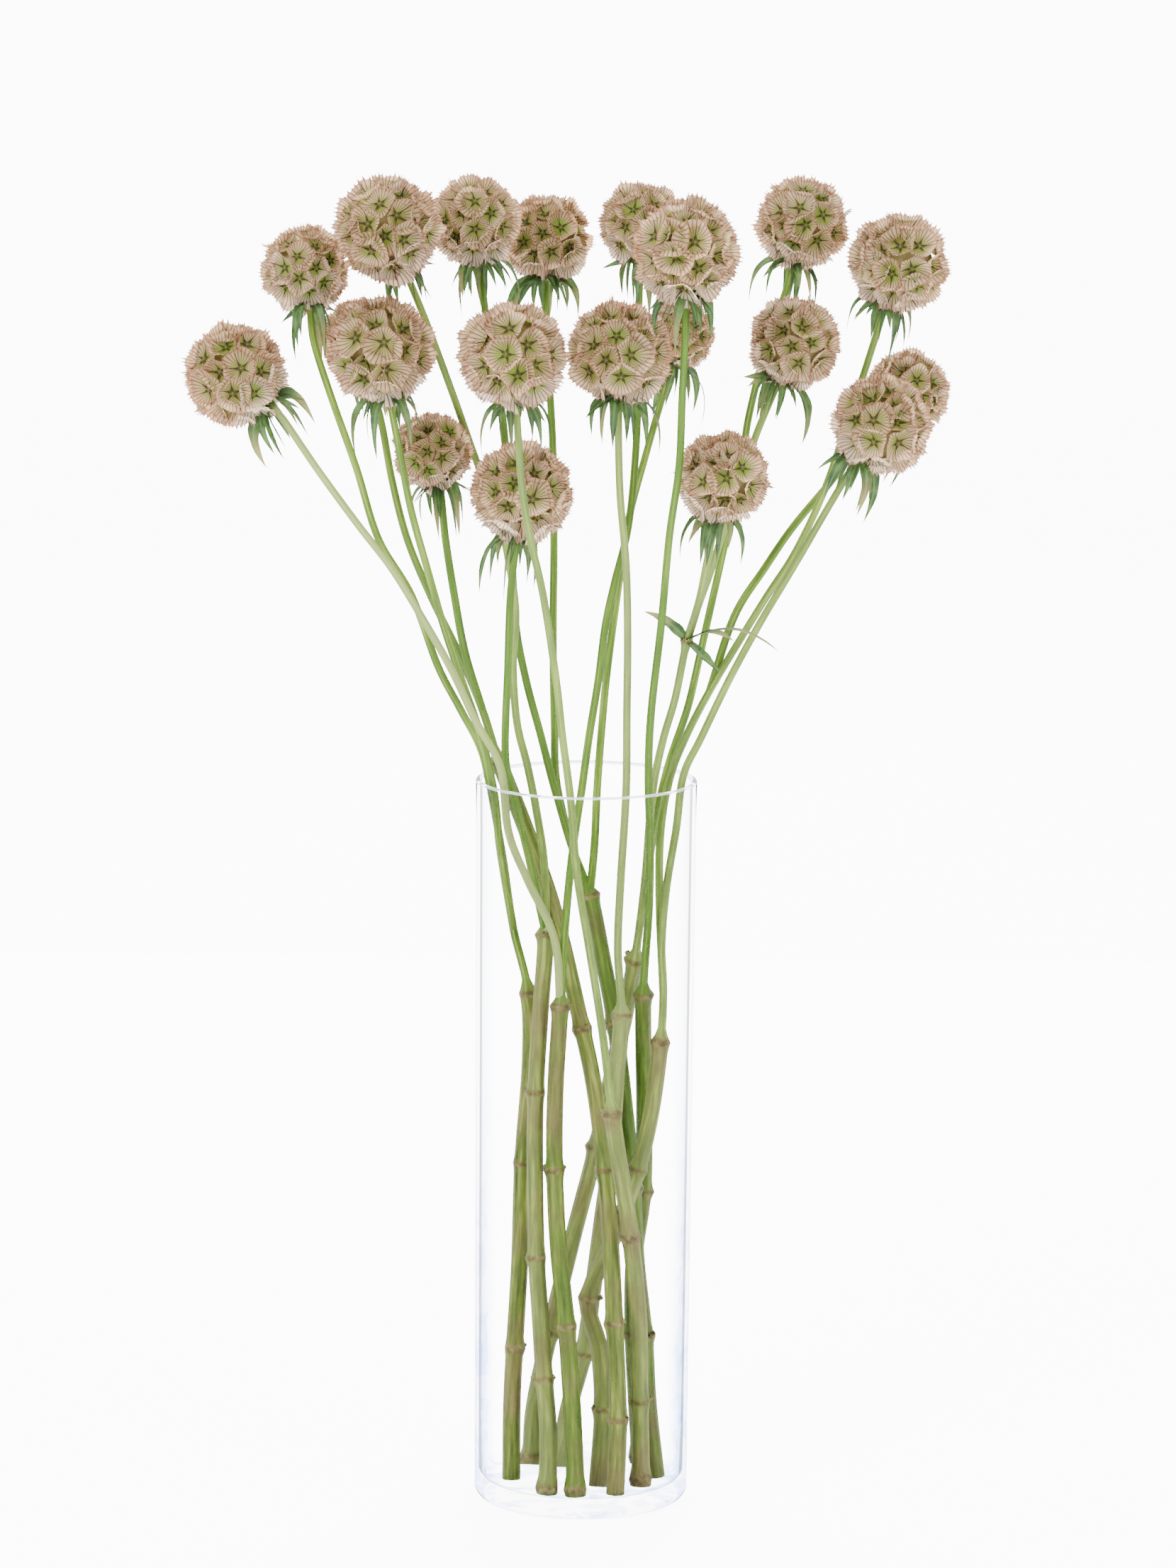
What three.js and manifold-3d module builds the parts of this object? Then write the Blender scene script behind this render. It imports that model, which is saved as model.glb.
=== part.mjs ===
// Starflower scabiosa: twenty dried round seed heads on green stems, standing in a clear glass cylinder.
// Millimetres, +Z up, the vase base is centred on the origin and rests on z = 0.
import * as THREE from 'three';
import { ConvexGeometry } from 'three/addons/geometries/ConvexGeometry.js';
import { mergeVertices } from 'three/addons/utils/BufferGeometryUtils.js';
import Module from 'manifold-3d';

// Vase
const VASE_HEIGHT = 337;
const VASE_BASE_RADIUS = 49.2;
const VASE_RIM_RADIUS = 50.6;
const VASE_WALL = 2.8;
const VASE_FLOOR = 9;
const VASE_HEEL = 5;
const VASE_SEGMENTS = 32;

// Stems
const FOOT_GAP = 0.4;
const FOOT_RADIUS = 4.2;
const THICK_RADIUS = 3.8;
const THIN_RADIUS = 1.9;
const NECK_RADIUS = 1.6;
const NODE_SWELL = 0.9;
const NODE_HALF_LENGTH = 3.2;
const STEM_SIDES = 5;

// Above this height the bunch opens towards front and back, by this share at the top
const OPEN_FROM = 345;
const OPEN_TOP = 580;
const OPEN_SHARE = 0.8;
const OPEN_DROP = 0.176;

// Seed heads
const CUPS_PER_HEAD = 22;
const CUP_FLOOR = 0.79;
const CUP_RIM = 1.0;
const VALLEY = 0.86;
const SEAT = 0.76;
const SEAT_ANGLE = THREE.MathUtils.degToRad(38);
const SEAT_GAP = 0.4;
const RECEPTACLE_RADIUS = 4.2;
const RECEPTACLE_LENGTH = 4;

// Bracts below each head
const BRACTS_PER_HEAD = 6;
const BRACT_LENGTH = 18;
const BRACT_WIDTH = 3.4;
const BRACT_THICKNESS = 1.3;
const CLEARANCE = 0.8;

// Seed heads: centre and radius, numbered from the top left to the lower right
const HEADS = {
  1: { centre: [-128.5, -4, 569], radius: 19.6 },
  2: { centre: [-91, -12, 588], radius: 23.5 },
  3: { centre: [-53, 15, 591], radius: 20.3 },
  4: { centre: [-21, 42, 582.5], radius: 20.6 },
  5: { centre: [23, 26, 590], radius: 19.2 },
  6: { centre: [42, -38, 580], radius: 23.5 },
  7: { centre: [96, 20, 591], radius: 21 },
  8: { centre: [139, 4, 574], radius: 22.2 },
  9: { centre: [-159, -15, 522], radius: 23.2 },
  10: { centre: [-105, 26, 536], radius: 18.2 },
  11: { centre: [-94, -20, 534], radius: 23.8 },
  12: { centre: [-34, -46, 534], radius: 23.5 },
  13: { centre: [13, -24, 534], radius: 23 },
  14: { centre: [41, 14, 540], radius: 15.4 },
  15: { centre: [92, -6, 538], radius: 20.6 },
  16: { centre: [146, 32, 513], radius: 19.2 },
  17: { centre: [131, -14, 502], radius: 22.2 },
  18: { centre: [-71, 0, 487], radius: 17.8 },
  19: { centre: [-30, -20, 471], radius: 22.8 },
  20: { centre: [60, -28, 479], radius: 20.8 },
};

// Stem routes from the foot, or from the joint with another stem, up to just below the head.
// thick is the last route point of the stout lower part; nodes are the points with a swollen ring.
const STEMS = [
  {
    head: 10, thick: 9, nodes: [1, 2, 4, 6, 9],
    route: [
      [16, -36, 9], [17, -33, 44], [15, -28, 88], [13, -21, 122], [10, -14, 157], [5, -8, 193],
      [-1, -3, 221], [-13, 3, 270], [-24, 9, 302], [-40, 13, 342], [-48, 15, 366], [-59, 16, 392],
      [-72, 18, 418], [-83, 20, 444], [-90, 22, 470], [-95, 24, 496],
    ],
  },
  { head: 18, joint: [10, 10], route: [[-56, 11, 393], [-61, 8, 420], [-65, 4, 446], [-67, 2, 466]] },
  {
    head: 1, thick: 6, nodes: [2, 4, 6],
    route: [
      [-32, -12, 9], [-32, -8, 44], [-31, -4, 70], [-29, 0, 110], [-28, 4, 156], [-25, 6, 203],
      [-26, 6, 236], [-33, 5, 266], [-38, 4, 299], [-43, 3, 326], [-48, 2, 349], [-58, 0, 369],
      [-68, -4, 389], [-80, -8, 422], [-95, -10, 448], [-105, -10, 480], [-116, -10, 511], [-124, -10, 536],
    ],
  },
  {
    head: 11, joint: [1, 7],
    route: [
      [-39, -6, 304], [-42, -12, 332], [-48, -12, 358], [-57, -12, 384], [-65, -13, 408], [-73, -14, 436],
      [-80, -17, 462], [-85, -19, 488],
    ],
  },
  {
    head: 2, thick: 8, nodes: [2, 4, 6, 8],
    route: [
      [-15, -36, 9], [-15, -34, 38], [-17, -30, 62], [-19, -27, 90], [-21, -24, 118], [-22, -18, 155],
      [-22, -13, 193], [-20, -8, 232], [-18, -4, 265], [-19, 0, 297], [-23, 4, 322], [-27, 8, 341],
      [-32, 9, 361], [-34, 9, 387], [-33, 9, 413], [-37, 10, 439], [-42, 12, 459], [-51, 14, 480],
      [-62, 6, 512], [-74, -5, 546],
    ],
  },
  {
    head: 19, joint: [2, 8],
    route: [[-26, -10, 302], [-34, -14, 335], [-37, -16, 352], [-36, -18, 391], [-35, -19, 424]],
  },
  {
    head: 3, thick: 8, nodes: [2, 4, 6, 8],
    route: [
      [35, -6, 9], [31, -4, 44], [29, 0, 75], [25, 3, 110], [23, 6, 144], [19, 9, 182],
      [14, 14, 220], [8, 17, 251], [2, 19, 279], [-7, 20, 303], [-15, 20, 330], [-21, 19, 353],
      [-28, 18, 379], [-33, 18, 405], [-35, 17, 438], [-37, 16, 471], [-40, 15, 504], [-46, 14, 536],
    ],
  },
  {
    head: 4, joint: [3, 8],
    route: [[-8, 29, 305], [-14, 33, 331], [-15, 34, 357], [-16, 36, 396], [-16, 38, 442], [-17, 40, 488], [-20, 42, 533]],
  },
  {
    head: 14, joint: [3, 8],
    route: [[4, 17, 304], [5, 16, 331], [7, 15, 361], [9, 15, 384], [13, 16, 417], [18, 17, 453], [26, 18, 485]],
  },
  {
    head: 12, thick: 5, nodes: [1, 3, 5],
    route: [
      [28, -21, 9], [27, -18, 49], [26, -21, 88], [22, -27, 129], [17, -30, 161], [13, -33, 188],
      [8, -36, 228], [2, -39, 265], [-4, -41, 301], [-7, -42, 334], [-11, -44, 364], [-14, -46, 390],
      [-20, -48, 428], [-26, -48, 454], [-30, -48, 479],
    ],
  },
  {
    head: 5, thick: 6, nodes: [2, 4, 6],
    route: [
      [-2, -39, 9], [-4, -37, 49], [-7, -33, 88], [-11, -28, 124], [-13, -23, 159], [-13, -19, 195],
      [-11, -16, 234], [-9, -14, 273], [-6, -13, 306], [-2, -12, 335], [1, -10, 358], [5, -8, 384],
      [8, -6, 409], [12, -3, 428], [18, 2, 453], [21, 8, 485], [22, 14, 517], [22, 20, 550],
    ],
  },
  {
    head: 9, joint: [5, 6],
    route: [
      [-14, -18, 266], [-26, -22, 293], [-35, -24, 316], [-39, -25, 346], [-50, -26, 367], [-62, -25, 392],
      [-77, -24, 418], [-89, -23, 437], [-104, -21, 456], [-122, -18, 480], [-138, -16, 503],
    ],
  },
  {
    head: 13, thick: 7, nodes: [2, 5, 7],
    route: [
      [-10, 14, 9], [-6, 12, 36], [1, 10, 64], [5, 8, 95], [9, 8, 129], [13, 3, 163],
      [15, -1, 198], [17, -4, 228], [15, -8, 259], [16, -14, 293], [18, -20, 334], [18, -24, 373],
      [18, -26, 406], [17, -26, 438], [14, -25, 470], [13, -24, 496],
    ],
  },
  {
    head: 6, thick: 6, nodes: [2, 4, 6],
    route: [
      [28, 18, 9], [26, 22, 37], [24, 22, 71], [24, 22, 105], [28, 21, 139], [28, 15, 182],
      [27, 3, 236], [29, -12, 280], [29, -20, 314], [28, -26, 345], [29, -30, 374], [33, -34, 414],
      [36, -37, 453], [40, -38, 485], [41, -38, 517], [42, -38, 543],
    ],
  },
  {
    head: 17, thick: 7, nodes: [1, 3, 5, 7],
    route: [
      [8, -23, 9], [10, -16, 44], [8, -10, 72], [3, -4, 94], [15, -8, 126], [25, -12, 157],
      [31, -9, 183], [35, -7, 216], [36, -7, 239], [35, -8, 262], [37, -9, 289], [41, -11, 316],
      [44, -13, 341], [52, -14, 359], [64, -14, 385], [77, -14, 410], [89, -14, 431], [97, -14, 445],
      [107, -14, 463], [119, -14, 484],
    ],
  },
  {
    head: 8, joint: [17, 8],
    route: [
      [34, -2, 278], [34, 2, 310], [38, 5, 336], [45, 7, 355], [56, 8, 377], [70, 10, 401],
      [82, 11, 421], [94, 12, 440], [106, 12, 466], [116, 11, 496], [126, 8, 529],
    ],
  },
  { head: 16, joint: [8, 5], route: [[67, 17, 410], [81, 22, 432], [94, 25, 451], [113, 28, 474], [128, 31, 494]] },
  {
    head: 15, thick: 7, nodes: [2, 4, 7, 13],
    route: [
      [-23, 13, 9], [-22, 20, 34], [-15, 28, 69], [-4, 32, 116], [6, 32, 157], [14, 28, 198],
      [19, 23, 223], [23, 14, 250], [27, 3, 287], [29, -3, 318], [31, -6, 338], [35, -8, 358],
      [40, -8, 376], [45, -8, 402], [50, -6, 418], [55, -3, 432], [61, -1, 451], [69, -1, 474],
      [75, -3, 495],
    ],
  },
  { head: 20, joint: [15, 13], route: [[50, -16, 421], [53, -22, 438]] },
  {
    head: 7, joint: [15, 7],
    route: [
      [28, 20, 287], [33, 23, 319], [38, 23, 341], [46, 22, 366], [51, 20, 389], [56, 19, 413],
      [61, 18, 437], [66, 18, 462], [70, 18, 485], [73, 19, 504], [80, 21, 533], [89, 21, 560],
    ],
  },
];

// Leaves on the node below heads 15 and 20: joint, middle and tip
const LEAVES = [
  [[45, -8, 402], [66, -20, 409], [87, -21, 399]],
  [[45, -8, 402], [36, -16, 412], [25, -18, 417]],
  [[45, -8, 402], [56, -21, 408], [66, -28, 405]],
  [[45, -8, 402], [53, -19, 396], [60, -22, 390]],
];
const LEAF_WIDTH = 6;

const vaseMaterial = new THREE.MeshStandardMaterial({ color: 0xdfe9ee, roughness: 0.05, metalness: 0 });
const headMaterial = new THREE.MeshStandardMaterial({ color: 0xc9b59a, roughness: 0.85, metalness: 0 });
const stemMaterial = new THREE.MeshStandardMaterial({ color: 0x8fa260, roughness: 0.75, metalness: 0 });

const wasm = await Module();
wasm.setup();

// Repeatable random numbers between 0 and 1
function randomFrom(seed) {
  let state = seed;
  return () => {
    state = (state * 16807) % 2147483647;
    return state / 2147483647;
  };
}

// A listed point, moved outwards in depth where the bunch opens
function vector(point) {
  const [x, y, z] = point;
  const shift = y * OPEN_SHARE * Math.max(0, z - OPEN_FROM) / (OPEN_TOP - OPEN_FROM);
  return new THREE.Vector3(x, y + shift, z - shift * OPEN_DROP);
}

function positionsOnly(geometry) {
  const bare = geometry.clone();
  bare.deleteAttribute('normal');
  bare.deleteAttribute('uv');
  return mergeVertices(bare, 1e-3);
}

function toSolid(geometry) {
  const merged = positionsOnly(geometry);
  const vertProperties = new Float32Array(merged.getAttribute('position').array);
  const triVerts = new Uint32Array(merged.getIndex().array);
  return new wasm.Manifold(new wasm.Mesh({ numProp: 3, vertProperties, triVerts }));
}

function toGeometry(solid) {
  const mesh = solid.getMesh();
  const geometry = new THREE.BufferGeometry();
  geometry.setAttribute('position', new THREE.BufferAttribute(new Float32Array(mesh.vertProperties), 3));
  geometry.setIndex(new THREE.BufferAttribute(new Uint32Array(mesh.triVerts), 1));
  geometry.computeVertexNormals();
  return geometry;
}

function distanceToSegment(point, start, end) {
  return new THREE.Line3(start, end).closestPointToPoint(point, true, new THREE.Vector3()).distanceTo(point);
}

// The whole centre line of a stem, from its foot or joint to the seat under its head
function centreLine(stem) {
  const points = stem.route.map(vector);
  if (stem.joint) {
    const parent = STEMS.find((other) => other.head === stem.joint[0]);
    points.unshift(parent.joint ? vector(parent.route[stem.joint[1] - 1]) : vector(parent.route[stem.joint[1]]));
  } else {
    points[0].z = VASE_FLOOR + FOOT_GAP;
  }
  const head = HEADS[stem.head];
  const centre = vector(head.centre);
  const axis = centre.clone().sub(points[points.length - 1]).normalize();
  const seat = centre.clone().addScaledVector(axis, -(head.radius * SEAT + SEAT_GAP));
  points.push(seat.clone().addScaledVector(axis, -RECEPTACLE_LENGTH), seat);
  return { points, axis, seat };
}

// Rings along a stem: centre, direction and radius of each
function stemRings(stem) {
  const { points } = centreLine(stem);
  const last = points.length - 1;
  const thick = stem.thick ?? 0;
  const rings = [];
  points.forEach((centre, index) => {
    const before = points[Math.max(index - 1, 0)];
    const after = points[Math.min(index + 1, last)];
    const direction = after.clone().sub(before).normalize();
    if (index === 0 && !stem.joint) direction.set(0, 0, 1);
    const stout = THREE.MathUtils.lerp(FOOT_RADIUS, THICK_RADIUS, Math.min(index / 5, 1));
    const slender = THREE.MathUtils.lerp(THIN_RADIUS, NECK_RADIUS, Math.max(index - thick, 0) / Math.max(last - thick, 1));
    if (index === last) {
      rings.push({ centre, direction, radius: RECEPTACLE_RADIUS });
    } else if (stem.nodes?.includes(index)) {
      const below = index <= thick ? stout : slender;
      const above = index < thick ? stout : slender;
      rings.push({ centre: centre.clone().addScaledVector(direction, -NODE_HALF_LENGTH), direction, radius: below });
      rings.push({ centre, direction, radius: below + NODE_SWELL });
      rings.push({ centre: centre.clone().addScaledVector(direction, NODE_HALF_LENGTH), direction, radius: above });
    } else {
      rings.push({ centre, direction, radius: index <= thick && !stem.joint ? stout : slender });
    }
  });
  return rings;
}

// A five-sided rod bent through its rings
function makeRod(rings) {
  const rod = positionsOnly(new THREE.CylinderGeometry(1, 1, 1, STEM_SIDES, rings.length - 1));
  const position = rod.getAttribute('position');
  for (let i = 0; i < position.count; i += 1) {
    const ring = rings[Math.round((position.getY(i) + 0.5) * (rings.length - 1))];
    const side = new THREE.Vector3(0, 1, 0).cross(ring.direction).normalize();
    const front = side.clone().cross(ring.direction);
    const moved = ring.centre.clone()
      .addScaledVector(side, position.getX(i) * ring.radius)
      .addScaledVector(front, position.getZ(i) * ring.radius);
    position.setXYZ(i, moved.x, moved.y, moved.z);
  }
  return rod;
}

// A keeled blade: three-sided section that is widest in the middle and narrow at the tip
function makeBlade(root, middle, tip, width, thickness) {
  const blade = positionsOnly(new THREE.CylinderGeometry(1, 1, 1, 3, 2));
  const position = blade.getAttribute('position');
  const along = tip.clone().sub(root).normalize();
  const across = along.clone().cross(new THREE.Vector3(0, 0, 1)).normalize();
  const up = across.clone().cross(along);
  const stations = [root, middle, tip];
  const widths = [width * 0.45, width * 0.5, width * 0.14];
  const heights = [thickness, thickness, thickness * 0.6];
  for (let i = 0; i < position.count; i += 1) {
    const station = Math.round((position.getY(i) + 0.5) * 2);
    const x = position.getX(i) / 0.866;
    const z = (position.getZ(i) - 0.25) / 1.5;
    const moved = stations[station].clone()
      .addScaledVector(across, x * widths[station])
      .addScaledVector(up, z * heights[station]);
    position.setXYZ(i, moved.x, moved.y, moved.z);
  }
  return blade;
}

// True where a point keeps clear of every other head and stem and of the vase
function isFree(point, ownHead, margin) {
  const headsClear = Object.entries(HEADS).every(([number, head]) => (
    Number(number) === ownHead || vector(head.centre).distanceTo(point) > head.radius * 1.06 + margin
  ));
  const stemsClear = STEMS.every((stem) => {
    if (stem.head === ownHead) return true;
    const { points } = centreLine(stem);
    return points.every((end, index) => (
      index === 0 || distanceToSegment(point, points[index - 1], end) > NECK_RADIUS + 0.4 + margin
    ));
  });
  return headsClear && stemsClear;
}

// Narrow bracts that spread from the receptacle and droop
function makeBracts(stem, takenBlades) {
  const random = randomFrom(stem.head * 7919 + 13);
  const { axis, seat } = centreLine(stem);
  const side = new THREE.Vector3(0, 1, 0).cross(axis).normalize();
  const front = side.clone().cross(axis);
  const blades = [];
  for (let i = 0; i < BRACTS_PER_HEAD; i += 1) {
    const turn = (i + 0.7 * random()) / BRACTS_PER_HEAD * Math.PI * 2;
    const reach = BRACT_LENGTH * (0.85 + 0.3 * random());
    const droop = 0.15 + 0.75 * random();
    const outward = side.clone().multiplyScalar(Math.cos(turn)).addScaledVector(front, Math.sin(turn));
    const root = seat.clone().addScaledVector(axis, -1.6).addScaledVector(outward, 1.2);
    const middle = seat.clone().addScaledVector(axis, -1.8 - reach * 0.25 * droop).addScaledVector(outward, reach * 0.45);
    const tip = seat.clone().addScaledVector(axis, -2 - reach * droop).addScaledVector(outward, reach * (1 - 0.35 * droop));
    const samples = [middle, middle.clone().lerp(tip, 0.5), tip];
    const free = samples.every((point) => isFree(point, stem.head, BRACT_WIDTH * 0.5 + CLEARANCE));
    const apart = samples.every((point) => takenBlades.every((taken) => (
      taken.head === stem.head || taken.samples.every((other) => other.distanceTo(point) > 8)
    )));
    if (free && apart) {
      blades.push(makeBlade(root, middle, tip, BRACT_WIDTH, BRACT_THICKNESS));
      takenBlades.push({ head: stem.head, samples });
    }
  }
  return blades;
}

// Directions spread evenly over a sphere, leaving out the cone around the downward seat
function cupDirections(count, random) {
  const directions = [];
  const lowest = -Math.cos(SEAT_ANGLE + 0.18);
  const golden = Math.PI * (3 - Math.sqrt(5));
  const start = random() * Math.PI * 2;
  for (let i = 0; i < count; i += 1) {
    const height = 1 - (1 - lowest) * (i + 0.5) / count;
    const across = Math.sqrt(1 - height * height);
    directions.push(new THREE.Vector3(across * Math.cos(start + i * golden), across * Math.sin(start + i * golden), height));
  }
  return directions;
}

function ringAround(direction, angle, count, start) {
  const first = new THREE.Vector3(1, 0, 0);
  if (Math.abs(direction.x) > 0.8) first.set(0, 1, 0);
  const u = first.cross(direction).normalize();
  const v = direction.clone().cross(u);
  return Array.from({ length: count }, (_, i) => {
    const turn = start + i / count * Math.PI * 2;
    return direction.clone().multiplyScalar(Math.cos(angle))
      .addScaledVector(u, Math.sin(angle) * Math.cos(turn))
      .addScaledVector(v, Math.sin(angle) * Math.sin(turn));
  });
}

// A ball covered with open cups: each has a sunk floor and a raised six-cornered rim
function makeHead(stem) {
  const head = HEADS[stem.head];
  const random = randomFrom(stem.head * 104729 + 7);
  const centres = cupDirections(CUPS_PER_HEAD, random);
  const down = new THREE.Vector3(0, 0, -1);
  const knots = [{ direction: down, reach: SEAT }];
  ringAround(down, SEAT_ANGLE - 0.07, 6, 0).forEach((direction) => {
    knots.push({ direction, reach: SEAT / -direction.z });
  });
  const cupAngle = Math.sqrt(4 * 0.86 / CUPS_PER_HEAD) * 0.8;
  centres.forEach((centre) => {
    knots.push({ direction: centre, reach: CUP_FLOOR });
    const start = random() * Math.PI;
    ringAround(centre, cupAngle, 6, start).forEach((direction) => {
      const reach = CUP_RIM * (0.95 + 0.07 * random());
      const seatLimit = direction.z < -0.6 ? Math.min(reach, SEAT / -direction.z + 0.06) : reach;
      if (direction.z > -Math.cos(SEAT_ANGLE)) knots.push({ direction, reach: seatLimit });
    });
  });
  const gaps = positionsOnly(new ConvexGeometry([...centres, down]));
  const corner = gaps.getAttribute('position');
  const faces = gaps.getIndex();
  for (let i = 0; i < faces.count; i += 3) {
    const direction = new THREE.Vector3();
    [0, 1, 2].forEach((k) => direction.add(new THREE.Vector3().fromBufferAttribute(corner, faces.getX(i + k))));
    direction.normalize();
    if (direction.z > -0.7) knots.push({ direction, reach: VALLEY });
  }
  const ball = positionsOnly(new ConvexGeometry(knots.map((knot) => knot.direction)));
  const position = ball.getAttribute('position');
  for (let i = 0; i < position.count; i += 1) {
    const place = new THREE.Vector3().fromBufferAttribute(position, i);
    let nearest = knots[0];
    knots.forEach((knot) => {
      if (knot.direction.distanceToSquared(place) < nearest.direction.distanceToSquared(place)) nearest = knot;
    });
    place.multiplyScalar(nearest.reach * head.radius);
    position.setXYZ(i, place.x, place.y, place.z);
  }
  const mesh = new THREE.Mesh(toGeometry(toSolid(ball)), headMaterial);
  mesh.name = `head_${String(stem.head).padStart(2, '0')}`;
  mesh.position.copy(vector(head.centre));
  mesh.quaternion.setFromUnitVectors(new THREE.Vector3(0, 0, 1), centreLine(stem).axis);
  return mesh;
}

// One green piece: a main stem from its foot with every stem that branches from it
function makeStem(main, takenBlades) {
  const family = [main.head];
  STEMS.forEach((stem) => {
    if (stem.joint && family.includes(stem.joint[0])) family.push(stem.head);
  });
  let solid = null;
  STEMS.filter((stem) => family.includes(stem.head)).forEach((stem) => {
    const pieces = [makeRod(stemRings(stem)), ...makeBracts(stem, takenBlades)];
    if (stem.head === 15) {
      LEAVES.forEach((leaf) => {
        pieces.push(makeBlade(vector(leaf[0]), vector(leaf[1]), vector(leaf[2]), LEAF_WIDTH, BRACT_THICKNESS));
      });
    }
    pieces.forEach((piece) => {
      const next = toSolid(piece);
      solid = solid ? solid.add(next) : next;
    });
  });
  const mesh = new THREE.Mesh(toGeometry(solid), stemMaterial);
  mesh.name = `stem_${String(main.head).padStart(2, '0')}`;
  return mesh;
}

// Clear cylinder with a thick floor, a rounded heel and a rounded, slightly flared lip
function makeVase() {
  const profile = new THREE.Path();
  const outerAtHeel = VASE_BASE_RADIUS;
  const lip = VASE_WALL / 2;
  profile.moveTo(0, 0);
  profile.lineTo(outerAtHeel - VASE_HEEL, 0);
  profile.absarc(outerAtHeel - VASE_HEEL, VASE_HEEL, VASE_HEEL, -Math.PI / 2, 0, false);
  profile.lineTo(VASE_RIM_RADIUS - 0.4, VASE_HEIGHT * 0.93);
  profile.absarc(VASE_RIM_RADIUS - lip, VASE_HEIGHT - lip, lip, 0, Math.PI, false);
  profile.lineTo(VASE_RIM_RADIUS - 0.4 - VASE_WALL, VASE_HEIGHT * 0.93);
  profile.lineTo(outerAtHeel - VASE_WALL, VASE_FLOOR + 2);
  profile.lineTo(outerAtHeel - VASE_WALL - 2, VASE_FLOOR);
  profile.lineTo(0, VASE_FLOOR);
  const turned = new THREE.LatheGeometry(profile.getPoints(2), VASE_SEGMENTS);
  turned.rotateX(Math.PI / 2);
  const mesh = new THREE.Mesh(toGeometry(toSolid(turned)), vaseMaterial);
  mesh.name = 'vase';
  return mesh;
}

const group = new THREE.Group();
group.add(makeVase());
const takenBlades = [];
STEMS.filter((stem) => !stem.joint).forEach((stem) => group.add(makeStem(stem, takenBlades)));
STEMS.forEach((stem) => group.add(makeHead(stem)));

export default group;
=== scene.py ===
"""Starflower scabiosa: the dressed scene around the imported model, in metres, +Z up."""
import math
import random

import bpy
import numpy as np
from mathutils import Matrix, Vector


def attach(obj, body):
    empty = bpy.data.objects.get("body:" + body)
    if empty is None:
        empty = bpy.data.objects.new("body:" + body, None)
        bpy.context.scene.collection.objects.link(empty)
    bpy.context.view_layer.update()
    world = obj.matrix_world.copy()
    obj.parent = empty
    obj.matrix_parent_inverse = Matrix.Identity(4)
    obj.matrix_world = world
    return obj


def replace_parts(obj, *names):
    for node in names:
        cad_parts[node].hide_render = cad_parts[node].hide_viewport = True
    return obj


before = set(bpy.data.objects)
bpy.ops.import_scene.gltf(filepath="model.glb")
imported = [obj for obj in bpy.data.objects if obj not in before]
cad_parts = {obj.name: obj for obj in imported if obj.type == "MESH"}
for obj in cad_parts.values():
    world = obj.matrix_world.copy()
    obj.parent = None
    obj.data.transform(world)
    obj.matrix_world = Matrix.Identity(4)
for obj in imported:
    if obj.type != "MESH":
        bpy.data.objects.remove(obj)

MM = 0.001
ACROSS, BACKWARDS, UP = np.eye(3)

# Vase, in millimetres
VASE_HEIGHT = 337.0
VASE_BASE_RADIUS = 49.2
VASE_RIM_RADIUS = 50.6
VASE_WALL = 2.8
VASE_FLOOR = 9.0
VASE_HEEL = 5.0
VASE_CORNER = 4.0
VASE_TURNS = 160

# Stems, in millimetres
FOOT_GAP = 0.4
FOOT_RADIUS = 4.2
THICK_RADIUS = 3.8
THIN_RADIUS = 1.9
NECK_RADIUS = 1.6
NODE_SWELL = 1.2
NODE_REACH = 3.2
NODE_HALF = 2.4
FOOT_NODE_HALF = 4.0
RING_STEP = 3.0
STEM_SIDES = 16
HAIRS_PER_MM = 1.2
HAIR_ROOT = 0.07
HAIR_TIP = 0.01
HAIR_MAP = 0.0005
HAIR_LENGTH = (0.5, 1.3)
STUB_LENGTH = (2.0, 3.6)
STUB_SIDES = 8

# The value that marks hairs in the stalks' material
HAIR_TINT = 2.0

# How pale (above 0) or dark (below 0) a stalk is, where it differs from the others
STEM_TINTS = {9: 0.9, 1: 0.2, 4: -0.5, 6: -0.7}

# Main stems whose foot ends in a swollen node
SWOLLEN_FEET = (12, 5, 2, 6, 15)

# Seed heads
CUPS_PER_HEAD = 40
RIBS_PER_CUP = 27
RIB_HALF = 0.23
CUP_RADIUS = 0.36
ROOM_LIMIT = 0.52
OVERLAP = 1.28
LEVEL_OVERLAP = 0.45
LEVEL_LIFT = 0.08
CUP_FLOOR = 0.78
CUP_RIM = 0.97
SEAT_PUSH = 2.2
SEAT = 0.76
SEAT_GAP = 0.4
RECEPTACLE_LENGTH = 4.0
RECEPTACLE_RADIUS = 4.2
HEART_RADIUS = 0.69
MAP_CELLS = 7

# Places up a cup's wall, how it bends, and the unevenness of its width, rim and ribs
CUP_ROWS = np.array([0.0, 0.3, 0.58, 0.82, 0.97])
CUP_CURVE = 0.96
CUP_LEAN = 0.13
WIDTH_WAVES = ((0.02, 3), (0.025, 5))
RIM_WAVES = ((0.16, 3), (0.12, 2), (0.09, 7))
RIM_NOTCHES = (-0.04, 0.02)
RIB_TIPS = (0.02, 0.15)
RIB_RISE = 0.05
TIP_SPREAD = 0.35
TIP_RISE = 0.8

# Places along the arm of a star and its widths there
ARM_ROWS = np.array([0.0, 0.08, 0.17, 0.28, 0.42, 0.65, 1.0])
ARM_WIDTHS = np.array([0.13, 0.18, 0.13, 0.075, 0.05, 0.036, 0.014])
ARM_LENGTH = (0.6, 0.95)

# Bracts below each head
BRACTS_PER_HEAD = 6
BRACT_LENGTH = 18.0
BRACT_WIDTH = 3.4
CLEARANCE = 0.8
HANGING_BRACTS = 8
HANGING_LENGTH = (12.0, 23.0)
HANGING_WIDTH = (4.4, 6.6)
FRINGE = 1.06
STEM_SPARE = 0.4
LEAFY_STEM = 15

# Above this height the bunch opens towards front and back
OPEN_FROM = 345.0
OPEN_TOP = 580.0
OPEN_SHARE = 0.8
OPEN_DROP = 0.176

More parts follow.
